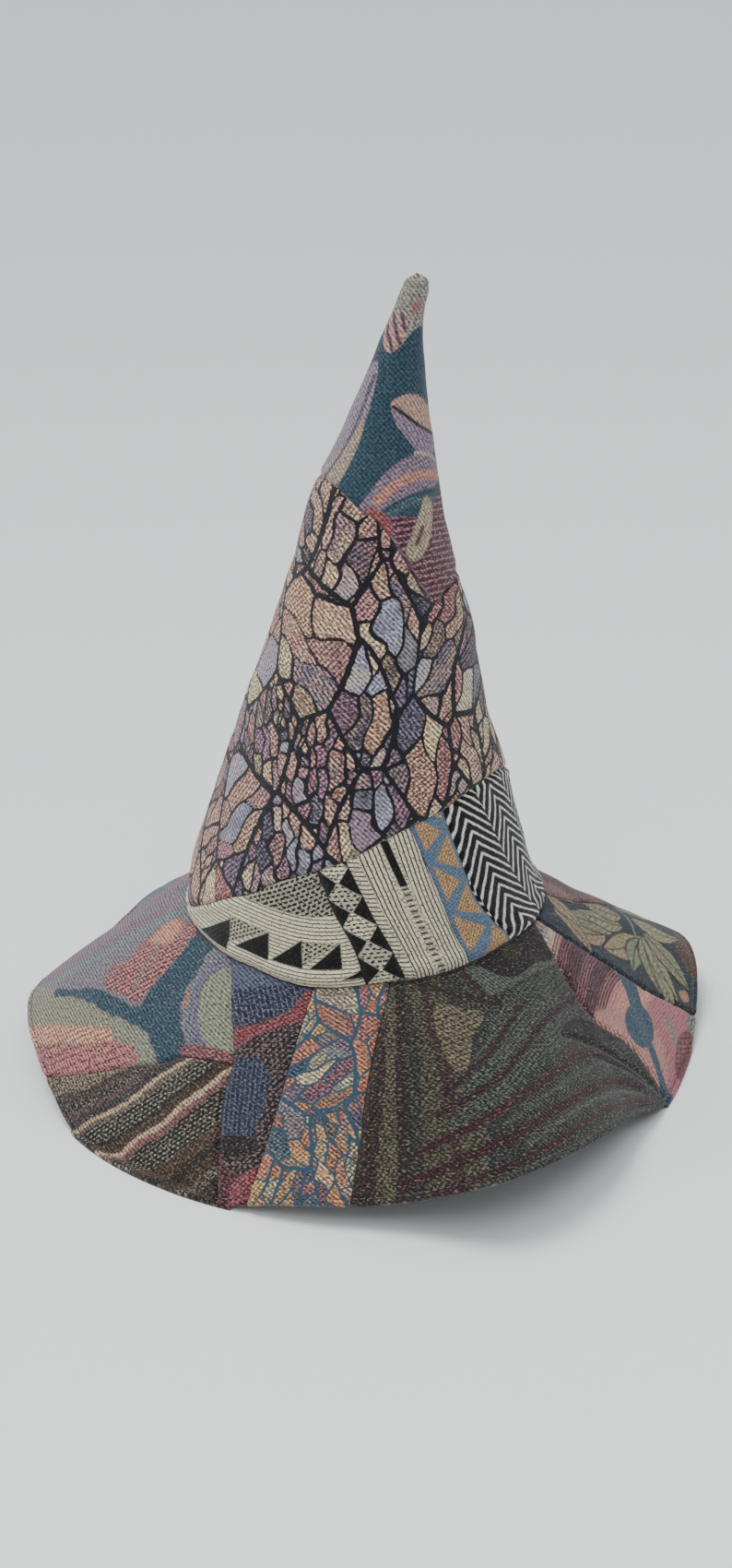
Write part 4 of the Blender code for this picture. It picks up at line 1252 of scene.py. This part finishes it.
def make_patch(name, paint, surface, inner, flat, angle, share, edges, closed=False, flip=False,
               pole=False, puff=None):
    """One patch: lay out its grid, weave the design, raise the relief and close the slab."""
    plain = surface(angle, share)
    p = flat(angle, share)
    near = border(plain, edges)
    height = relief(p.reshape(-1, 2), near.ravel()).reshape(near.shape)
    if puff is not None:
        height = height + puff(angle, share, near)
    direction = normals(plain, closed) * (-1 if flip else 1)
    show = plain + direction * height[..., None]
    show[..., 2] = np.maximum(show[..., 2], OVER_TABLE)
    inside = inner(angle[::COARSE, ::COARSE], share[::COARSE, ::COARSE])
    cloth = with_reverse(paint(angle.ravel(), share.ravel()), inside.shape[0] * inside.shape[1])
    uv = np.concatenate([p.reshape(-1, 2), p[::COARSE, ::COARSE].reshape(-1, 2)])
    piece = slab(name, show, inside, cloth, uv, closed, flip, pole)
    triangles = sum(len(q.vertices) - 2 for q in piece.data.polygons)
    print(f"{name}: {triangles} triangles")
    return piece


print("seams dip by", 1000 * SEAM_DIP, "mm")

# %% [markdown]
# ## Jacquard as a material
# Jacquard is woven from dyed yarns of two or more colours. Up close it shows ribs, broken twill
# lines and flecks where a second yarn comes to the face, and no shine but a little fuzz. The
# design's colours and rib phases come from the mesh. The nodes turn the phase into ribs, fleck
# the second yarn in, vary the yarns' tone at random, paint shade into the hollows between the
# yarn crowns and raise the crowns with bump.

# %% The cloth material
# Sizes of the noises in metres: yarn, flecks, stray yarns, wander of the ribs, outline thread
YARN = 0.0016
FLECK = 0.0017
STRAY = 0.0019
WANDER_SIZE = 0.004
UNEVEN = 0.0035
# Softness of a rib's edge, as a share of half its pitch
RIB_EDGE = 0.16
# Height in metres between the back and the face of the yarn
YARN_HEIGHT = 0.0004
# Colours of the stray yarns
CREAM_YARN = "a0978a"
DARK_YARN = "1c1c20"


def opaque(code):
    """Colour with its fourth value for a node input."""
    return (*linear(code), 1)


class Wiring:
    """Adds nodes to a material. An input takes a socket, which is linked, or a value, which is set."""

    def __init__(self, material):
        material.use_nodes = True
        self.tree = material.node_tree

    def feed(self, inputs, values):
        for key, value in values.items():
            if isinstance(value, bpy.types.NodeSocket):
                self.tree.links.new(value, inputs[key])
            else:
                inputs[key].default_value = value

    def shader(self, values):
        """Feed the surface shader."""
        self.feed(self.tree.nodes["Principled BSDF"].inputs, values)

    def node(self, kind, values, **settings):
        """New node with these inputs and settings; its outputs are returned."""
        made = self.tree.nodes.new(kind)
        for key, value in settings.items():
            setattr(made, key, value)
        self.feed(made.inputs, values)
        return made.outputs

    def woven(self, name, output):
        """What the mesh holds under this name."""
        return self.node("ShaderNodeAttribute", {}, attribute_name=name)[output]

    def calc(self, operation, *values):
        return self.node("ShaderNodeMath", dict(enumerate(values)), operation=operation)[0]

    def ramp(self, value, low, high, to_low=0.0, to_high=1.0):
        """Straight ramp between two values, level beyond them."""
        inputs = dict(enumerate((value, low, high, to_low, to_high)))
        return self.node("ShaderNodeMapRange", inputs)[0]

    def noise(self, place, size, detail):
        inputs = {"Vector": place, "Scale": 1 / size, "Detail": detail}
        return self.node("ShaderNodeTexNoise", inputs)[0]

    def mix(self, share, base, over):
        return self.node("ShaderNodeMix", {0: share, 6: base, 7: over}, data_type="RGBA")[2]


def jacquard(name, outline, outline_width, twill, stray_share, tone_and_shade, wander=0.24):
    """Woven cotton jacquard.

    Outline thread width in mm, twill pitch in metres, share of stray yarns, how much the yarns
    differ in tone together with how deep the painted shade between twill crowns is, and how far
    ribs wander as a share of their pitch.
    """
    cloth = bpy.data.materials.new(name)
    wires = Wiring(cloth)
    node, calc, ramp, noise = wires.node, wires.calc, wires.ramp, wires.noise
    ground = wires.woven("ground", "Color")
    thread = wires.woven("thread", "Color")
    weave = wires.woven("weave", "Vector")
    rib_number, rib_share, fleck_share = node("ShaderNodeSeparateXYZ", {0: weave})
    line = wires.woven("line", "Fac")
    dash_number, dash_share, _ = node("ShaderNodeSeparateXYZ", {0: wires.woven("floats", "Vector")})
    uv = node("ShaderNodeUVMap", {}, uv_map="cloth")["UV"]
    # Yarns wander, so the rib number wobbles a little along the cloth
    wobble = calc("MULTIPLY_ADD", noise(uv, WANDER_SIZE, 1.0), 2 * wander, -wander)
    phase = calc("ADD", rib_number, wobble)
    swing = calc("MULTIPLY", calc("PINGPONG", phase, 0.5), 2.0)
    above = calc("ADD", rib_share, RIB_EDGE)
    rib = ramp(swing, above, calc("SUBTRACT", rib_share, RIB_EDGE))
    # Each rib is a row of floats of yarn, set half a step on from the row beside it
    shifted = calc("MULTIPLY_ADD", calc("ROUND", phase), 0.5, dash_number)
    beat = calc("MULTIPLY_ADD", calc("PINGPONG", shifted, 0.5), 2.0, calc("MULTIPLY", wobble, 1.5))
    rib = calc("MULTIPLY", rib, ramp(calc("SUBTRACT", dash_share, beat), -0.15, 0.2, 0.12))
    # Flecks: fine noise stretched along the yarn, cut at a level that the fleck share moves
    stretched = node("ShaderNodeMapping", {"Vector": uv, "Scale": (1.0, 1.7, 1.0)})[0]
    even = ramp(noise(stretched, FLECK, 0.0), 0.30, 0.70)
    second = calc("MAXIMUM", rib, ramp(calc("ADD", even, fleck_share), 0.92, 1.08))
    mixed = wires.mix(second, ground, thread)
    # Twill: crowns of the yarn along diagonals, plus a random tone per yarn. The same level raises the
    # yarn in the bump and scales the colour, so besides the yarns' own differences in tone the crowns
    # are painted lighter and the hollows between them carry painted shade.
    halves = node("ShaderNodeSeparateXYZ", {0: uv})
    counted = calc("DIVIDE", calc("ADD", halves[0], halves[1]), twill)
    level = calc("ADD", calc("PINGPONG", counted, 0.5), noise(uv, YARN, 1.0))
    shade = ramp(level, 0.45, 1.0, 1 - 0.65 * tone_and_shade, 1 + 0.75 * tone_and_shade)
    shaded = node("ShaderNodeVectorMath", {0: mixed, 3: shade}, operation="SCALE")[0]
    # Stray yarns: a few cream and a few dark ones come to the face everywhere
    stray = noise(stretched, STRAY, 1.0)
    shaded = wires.mix(ramp(stray, 0.60, 0.68, 0.0, stray_share), shaded, opaque(CREAM_YARN))
    shaded = wires.mix(ramp(stray, 0.40, 0.32, 0.0, stray_share), shaded, opaque(DARK_YARN))
    # The outline thread, uneven like a drawn line
    shift = calc("MULTIPLY_ADD", noise(uv, UNEVEN, 2.0), 1.5, -0.75)
    drawn = ramp(calc("ADD", line, shift), outline_width / 2 + 0.22, outline_width / 2 - 0.12)
    height = calc("MULTIPLY_ADD", second, level, level)
    bump = node("ShaderNodeBump", {"Height": height, "Strength": 0.55, "Distance": YARN_HEIGHT})[0]
    wires.shader({
        "Base Color": wires.mix(drawn, shaded, opaque(outline)), "Normal": bump, "Roughness": 0.92,
        "Specular IOR Level": 0.2, "Sheen Weight": 0.12, "Sheen Roughness": 0.6,
    })
    return cloth


FINE = jacquard("cotton jacquard, tweed flecks", "20222f", 1.6, 0.0026, 0.38, 1.15)
SMOOTH = jacquard("cotton jacquard, fine twill", "20222f", 1.6, 0.0024, 0.14, 0.85)
PAVED = jacquard("cotton jacquard, outlined cells", "10111b", 1.9, 0.0026, 0.28, 1.1)
PALE_LINED = jacquard("cotton jacquard, slate outlines", "2c4658", 1.6, 0.0026, 0.34, 1.1)
HEAVY = jacquard("cotton jacquard, heavy rib", "1f1f22", 1.5, 0.0023, 0.06, 0.35, 0.10)
print("materials:", len(bpy.data.materials))

# %% [markdown]
# ## Sewing the crown
# The crown is a ring between band and tip, and the tip is a ring that closes at the top. Columns
# of the grid stand closer at the front, where the cells have to be crisp, and further apart at
# the back, which keeps the mesh light.

# %% Crown and tip
# Half width of the fine front as a share of half a turn, how softly it ends, steps of the sum
FRONT_SHARE = 0.60
FRONT_SOFT = 0.08
SUM_STEPS = 4001
# Rows and columns of the crown's grid
CROWN_GRID = (169, 460)
# Rows of the tip's grid up to its round end and on the end, its columns, and where it closes
TIP_ROWS = (152, 21)
TIP_COLUMNS = 292
TIP_CLOSES = 0.9995
# Hollow of the tip: height share over which it rises more slowly, by what factor, and how much
# thicker the wall gets, in metres
HOLLOW_SLOWS = 0.93
SLOWER = 0.55
THICKER = 0.0012
# How far pieces stay from a level seam, in half seam gaps
OFF_SEAM = 1.4


def around(count, front):
    """Angles once round, count of them, closer by the factor front at the front than at the back."""
    t = np.linspace(-1, 1, SUM_STEPS)
    density = 1 + (front - 1) * 0.5 * (1 + np.tanh((FRONT_SHARE - np.abs(t)) / FRONT_SOFT))
    total = np.concatenate([[0], np.cumsum(0.5 * (density[1:] + density[:-1]))])
    return np.interp(np.arange(count) / count, total / total[-1], t) * 180


def dress(piece, cloth, node):
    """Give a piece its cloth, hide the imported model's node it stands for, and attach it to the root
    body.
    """
    piece.data.materials.append(cloth)
    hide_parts(node)
    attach(piece, "root")


def crown_inner(angle, share):
    """Inside of the crown, one wall in."""
    return crown_point(angle, share, WALL)


def seam_share(edge, angle, side):
    """Height share of a level seam, moved up or down by half the seam gap."""
    return edge(angle) + side * 0.5 * SEAM_GAP / CROWN_HEIGHT


def tip_inner(angle, share):
    """Inside of the tip: the hollow stops well below the round end."""
    above = share - HOLLOW_SLOWS
    hollow = np.where(above > 0, HOLLOW_SLOWS + above * SLOWER, share)
    return crown_point(angle, hollow, WALL + THICKER * np.clip(above / (1 - HOLLOW_SLOWS), 0, 1))


ring = around(CROWN_GRID[1], 2.4)
up = np.linspace(0, 1, CROWN_GRID[0])[:, None]
low, high = seam_share(band_edge, ring, OFF_SEAM), seam_share(tip_edge, ring, -OFF_SEAM)
crown = make_patch("crown_cloth", paint_crown, crown_point, crown_inner, flat_crown,
                   np.broadcast_to(ring, CROWN_GRID).copy(), low + (high - low) * up,
                   ("low", "high"), closed=True)

ring = around(TIP_COLUMNS, 2.3)
rise = np.concatenate([np.linspace(0, END_START, TIP_ROWS[0], endpoint=False),
                       np.linspace(END_START, TIP_CLOSES, TIP_ROWS[1])])[:, None]
low = seam_share(tip_edge, ring, OFF_SEAM)
tip = make_patch("tip_cloth", paint_tip, crown_point, tip_inner, flat_crown,
                 np.broadcast_to(ring, (sum(TIP_ROWS), TIP_COLUMNS)).copy(), low + (1 - low) * rise,
                 ("low",), closed=True, pole=True)
dress(crown, PAVED, "crown_body")
dress(tip, SMOOTH, "crown_tip")

# %% [markdown]
# ## Sewing the band
# The band's lower edge is folded under, so it puffs out over the brim by two millimetres and
# turns back in at the seam. The swell is one bump of a sine over the lowest twelve millimetres.

# %% Band strips
# In metres: swell of the folded edge, height of the fold, swell under the top edge, its place and
# its half width
BAND_SWELL = 0.0016
FOLD_HEIGHT = 0.012
TOP_SWELL = 0.0003
TOP_PLACE = 0.003
TOP_HALF = 0.002


def band_puff(angle, share, near):
    """Swell of the folded lower edge, and a small one under the top edge."""
    fold = np.sin(np.pi * np.clip(share * CROWN_HEIGHT / FOLD_HEIGHT, 0, 1)) ** 2
    return BAND_SWELL * fold + TOP_SWELL * np.exp(-((near - TOP_PLACE) / TOP_HALF) ** 2)


def band_strip(name, node, paint, left, right, step):
    """Grid between two leaning seams; each seam moves aside by half the seam gap."""
    tall = BAND_HEIGHT * 0.95
    rows = max(3, int(round(tall / step / COARSE))) * COARSE + 1
    up = np.linspace(0, 1, rows)
    aside = np.degrees(0.6 * SEAM_GAP / HEAD_RADIUS)
    start = smooth(BAND_SEAMS[left], 1, up) + aside
    end = smooth(BAND_SEAMS[right], 1, up) - aside
    columns = int(round(np.radians((end - start).max()) * HEAD_RADIUS / step / COARSE)) * COARSE + 1
    angle = start[:, None] + (end - start)[:, None] * np.linspace(0, 1, columns)
    share = up[:, None] * seam_share(band_edge, angle, -OFF_SEAM)
    piece = make_patch(name, paint, crown_point, crown_inner, band_flat, angle, share,
                       ("low", "high", "left", "right"), puff=band_puff)
    dress(piece, HEAVY, node)


band_strip("triangles_cloth", "band_triangles", paint_triangles, "left", "triangles", 0.0007)
band_strip("checks_cloth", "band_checks", paint_checks, "triangles", "checks", 0.00055)
band_strip("stripes_cloth", "band_stripes", paint_stripes, "checks", "stripes", 0.00055)
band_strip("lattice_cloth", "band_lattice", paint_lattice, "stripes", "lattice", 0.00055)
band_strip("chevron_cloth", "band_chevron", paint_chevron, "lattice", "right", 0.0006)
band_strip("band_back_cloth", "band_back", paint_plain_band, "right", "left_again", 0.0018)

# %% [markdown]
# ## Sewing the brim
# A brim patch runs from its narrow root under the crown's wall to the rim. There the cloth is
# folded under and stitched down, so the edge is round, with a faint dip along the stitches.

# %% Brim patches
# In metres: radius of the rim's turn, and how far in its stitches are
RIM_TURN = 0.0016
STITCH_IN = 0.0042
# Small bumps beside the rim: height, distance in and half width, in metres
RIM_BUMPS = ((-0.0004, STITCH_IN, 0.0008), (0.0003, 0.002, 0.0012))
# Pleats: points as angle and reach share, depth in metres, half width in mm
PLEATS = (
    (LONG_PLEAT, 0.0014, 2.2),
    (SHORT_PLEAT, 0.0010, 1.8),
    (((30, 0.80), (42, 0.80), (54, 0.86), (62, 0.96)), 0.0008, 4.0),
)


def brim_seam(name, share):
    """Angle of a seam at each reach share; two names are joined at the corner."""
    if isinstance(name, tuple):
        return np.where(share <= CORNER[0], brim_seam(name[0], share), brim_seam(name[1], share))
    return smooth(BRIM_SEAMS[name], 1, share)


def under_brim(angle, share):
    """Underside of the brim, one wall below its top along the normal, never below the floor."""
    turn, step = 0.5, 0.004
    across = brim_point(angle + turn, share) - brim_point(angle - turn, share)
    along = brim_point(angle, share + step) - brim_point(angle, share - step)
    down = unit(np.cross(across, along))
    down = down * -np.sign(down[..., 2:])
    point = brim_point(angle, share) + WALL * down
    point[..., 2] = np.where(point[..., 2] < 0.25 * WALL, 0, point[..., 2])
    return point


def brim_puff(angle, share, near):
    """Round turn of the rim, the dip under its stitches, and the pleats beside the ridge."""
    left = np.clip((1 - share) * BRIM_SLANT / 1000, 0, 1)
    turned = -RIM_TURN * (1 - np.sqrt(1 - (1 - np.clip(left / RIM_TURN, 0, 1)) ** 2))
    stitched = sum(high * np.exp(-(((left - at) / wide) ** 2)) for high, at, wide in RIM_BUMPS)
    pleat = np.zeros_like(share)
    for points, deep, half in PLEATS:
        gap = off_line(flat_brim(angle, share).reshape(-1, 2), brim_line(points, False))
        gap = gap.reshape(share.shape)
        pleat = pleat - deep * np.exp(-((gap / half) ** 2))
    return turned + stitched + pleat * (share > 0.02)


def brim_patch(name, node, paint, left, right, step, cloth, start_share=-1.0, bias=1.0):
    """Grid between two seams of the brim, from the root or the corner out to the rim."""
    length = BRIM_SLANT / 1000 * (1 - max(start_share, 0))
    rows = int(round(length / step / COARSE)) * COARSE
    if start_share < 0:
        share = np.concatenate([np.linspace(start_share, 0, COARSE, endpoint=False),
                                np.linspace(0, 1, rows + 1)])
    else:
        share = np.linspace(start_share, 1, rows + 1)
    head = np.maximum(share, 0)
    radius = HEAD_RADIUS + BRIM_REACH * head
    aside = np.degrees(0.7 * SEAM_GAP / radius)
    start, end = brim_seam(left, head) + aside, brim_seam(right, head) - aside
    crossed, middle = start > end, (start + end) / 2
    start, end = np.where(crossed, middle, start), np.where(crossed, middle, end)
    wide = (np.radians(end - start) * radius).max()
    columns = int(round(wide / step / COARSE)) * COARSE + 1
    if bias != 1.0:
        columns = int(round(columns * 0.62 / COARSE)) * COARSE + 1
    t = np.linspace(0, 1, columns)
    t = 1 - (1 - t) ** bias if bias > 1 else t ** (1 / bias)
    angle = start[:, None] + (end - start)[:, None] * t
    shares = np.broadcast_to(share[:, None], angle.shape).copy()
    piece = make_patch(name, paint, brim_point, under_brim, flat_brim, angle, shares,
                       ("left", "right"), flip=True, puff=brim_puff)
    dress(piece, cloth, node)


brim_patch("blue_floral_cloth", "brim_blue_floral", paint_blue_floral, "back_left",
           ("left_upper", "left_lower"), 0.00083, FINE, bias=1.8)
brim_patch("brown_stripe_cloth", "brim_brown_stripe", paint_brown_stripe, "left_lower", "front_left",
           0.0006, FINE, 0.402)
brim_patch("navy_red_cloth", "brim_navy_red", paint_navy_red, ("left_upper", "front_left"), "front",
           0.0006, FINE)
brim_patch("mosaic_cloth", "brim_mosaic", paint_mosaic, "front", "front_right", 0.0006, PALE_LINED)
brim_patch("dark_leaf_cloth", "brim_dark_leaf", paint_dark_leaf, "front_right", "ridge", 0.00074,
           FINE)
brim_patch("teardrop_cloth", "brim_pink_teardrop", paint_pink_teardrop, "ridge", "right", 0.00064,
           FINE)
brim_patch("foliage_cloth", "brim_foliage", paint_foliage, "right", "back_right", 0.00069, FINE)
brim_patch("pink_cloth", "brim_pink", paint_pink, "back_right", "back", 0.0013, FINE)
brim_patch("brim_back_cloth", "brim_back", paint_back, "back", "back_left_again", 0.0015, FINE)

# %% [markdown]
# ## Stitches along the rim
# The folded rim is held by a row of small stitches about four millimetres in. Each is a short
# rounded bar that lies along the rim. They are one mesh: the bar's few corners are worked out
# once and carried to every place as an array.

# %% Rim stitches
# Pitch, length and thickness of a stitch in metres
STITCH_PITCH = 0.0036
STITCH_LONG = 0.0024
STITCH_THICK = 0.00045
# A stitch: shares of its length where its rings of corners are, and share of its thickness there
STITCH_RINGS = ((-0.5, 0.35), (-0.3, 1.0), (0.3, 1.0), (0.5, 0.35))
SIDES = 6


def stitch_row():
    """Small six-sided bars at even steps round the rim, ends drawn in to a third of their thickness."""
    many = np.linspace(-180, 180, 3601)
    inward = 1 - STITCH_IN / (BRIM_SLANT / 1000)
    path = brim_point(many, np.full_like(many, inward))
    far = np.concatenate([[0], np.cumsum(np.linalg.norm(np.diff(path, axis=0), axis=1))])
    count = int(far[-1] / STITCH_PITCH)
    angle = np.interp((np.arange(count) + 0.5) * far[-1] / count, far, many)
    share = np.full(count, inward)
    turn, step = 0.3, 0.01
    ahead = unit(brim_point(angle + turn, share) - brim_point(angle - turn, share))
    out = unit(brim_point(angle, share + step) - brim_point(angle, share - step))
    lift = np.cross(out, ahead)
    lift = lift * np.sign(lift[:, 2:])
    round_bar = np.linspace(0, 2 * np.pi, SIDES, endpoint=False)
    along, thick = np.array(STITCH_RINGS).T
    thick = thick[:, None] * STITCH_THICK / 2
    axes = np.stack([ahead, out, lift], 1)
    local = np.stack([
        np.broadcast_to((along * STITCH_LONG)[:, None], (len(along), SIDES)),
        thick * np.cos(round_bar), thick * np.sin(round_bar),
    ], -1).reshape(-1, 3)
    points = brim_point(angle, share)[:, None] + local @ axes
    last = len(local)
    ends = np.array([np.arange(SIDES)[::-1], np.arange(last - SIDES, last)])
    shift = np.arange(count)[:, None, None] * last
    sides = quads(len(along), SIDES, True, False)
    faces = [(sides + shift).reshape(-1, 4), (ends + shift).reshape(-1, SIDES)]
    return points.reshape(-1, 3), faces, count


points, faces, count = stitch_row()
mesh = bpy.data.meshes.new("rim_stitches")
mesh.from_pydata(points.tolist(), [], [tuple(f) for group in faces for f in group.tolist()])
mesh.shade_smooth()
stitches = into_scene("rim_stitches", mesh)
cotton = bpy.data.materials.new("cotton sewing thread, dark grey")
wires = Wiring(cotton)
place = wires.node("ShaderNodeTexCoord", {})["Object"]
tone = wires.mix(wires.noise(place, 0.0006, 2.0), opaque("3c3a3c"), opaque("77716c"))
wires.shader({"Base Color": tone, "Roughness": 0.8})
mesh.materials.append(cotton)
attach(stitches, "root")
print("stitches:", count)

# %% [markdown]
# ## Table, light and camera
# The hat stands on a sheet of pale paper that curls up behind it, and again far in front. A large
# window at the left behind gives the soft main light, and a weak lamp over the front fills in. A
# sun with a wide angle stands for the window, because it lights paper and hat evenly. The camera
# looks down by 25 degrees from a metre away.

# %% Stage
# Paper in metres: half its width, radius of both curls, where they start, and how high it ends
PAPER_HALF = 30.0
CURL = 2.6
BEHIND = 0.8
IN_FRONT = -9.0
HIGH_BEHIND = 9.0
HIGH_IN_FRONT = 3.2
# Camera: tilt, aim over the head seam in metres, focal length in rows of a picture of 1700 rows
TILT = np.radians(25)
AIM = SEAM_HEIGHT + 0.0684
FOCAL = 2026.3
ROWS = 1700

bend = np.linspace(0, np.pi / 2, 33)
far_curl = [(BEHIND + CURL * np.sin(a), CURL - CURL * np.cos(a)) for a in bend]
near_curl = [(IN_FRONT - CURL * np.sin(a), CURL - CURL * np.cos(a)) for a in bend[::-1]]
profile = [(IN_FRONT - CURL, HIGH_IN_FRONT), *near_curl, *far_curl, (BEHIND + CURL, HIGH_BEHIND)]
corners = [(x, y, z) for x in (-PAPER_HALF, PAPER_HALF) for y, z in profile]
count = len(profile)
floor_mesh = bpy.data.meshes.new("floor")
sheet = [(i, count + i, count + i + 1, i + 1) for i in range(count - 1)]
floor_mesh.from_pydata(corners, [], sheet)
floor_mesh.shade_smooth()
floor = into_scene("floor", floor_mesh)
paper = bpy.data.materials.new("matt pale paper")
Wiring(paper).shader({"Base Color": opaque("f3f5f6"), "Roughness": 0.9, "Specular IOR Level": 0.1})
floor_mesh.materials.append(paper)

world = bpy.data.worlds.new("soft grey room")
bpy.context.scene.world = world
world.use_nodes = True
background = world.node_tree.nodes["Background"].inputs
background["Color"].default_value = opaque("dfe4e8")
background["Strength"].default_value = 0.70


def light(name, kind, aim, place, **settings):
    """New light at a place that shines along aim."""
    data = bpy.data.lights.new(name, kind)
    for key, value in settings.items():
        setattr(data, key, value)
    lamp = into_scene(name, data)
    lamp.location = place
    lamp.rotation_euler = Vector(aim).to_track_quat("-Z", "Y").to_euler()


light("window", "SUN", (0.40, -0.20, -1.0), (0, 0, 0), energy=2.7, angle=np.radians(32),
      color=(1.0, 0.985, 0.965))
light("front_fill", "AREA", (0.0, 0.1, -1.0), (0.0, -0.9, 1.9), energy=14, size=1.6)

eye = Vector((MIDDLE[0], MIDDLE[1] - np.cos(TILT), AIM + np.sin(TILT)))
camera_data = bpy.data.cameras.new("camera")
camera_data.sensor_fit = "VERTICAL"
camera_data.sensor_height = 36.0
camera_data.lens = camera_data.sensor_height * FOCAL / ROWS
camera = into_scene("camera", camera_data)
camera.location = eye
look = Vector((MIDDLE[0], MIDDLE[1], AIM)) - eye
camera.rotation_euler = look.to_track_quat("-Z", "Y").to_euler()
bpy.context.scene.camera = camera
print("camera at", [round(v, 3) for v in eye])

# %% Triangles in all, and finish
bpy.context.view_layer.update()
shown = [o for o in bpy.data.objects if o.type == "MESH" and o.name.endswith(("cloth", "stitches"))]
print("triangles in all:",
      sum(len(face.vertices) - 2 for piece in shown for face in piece.data.polygons))
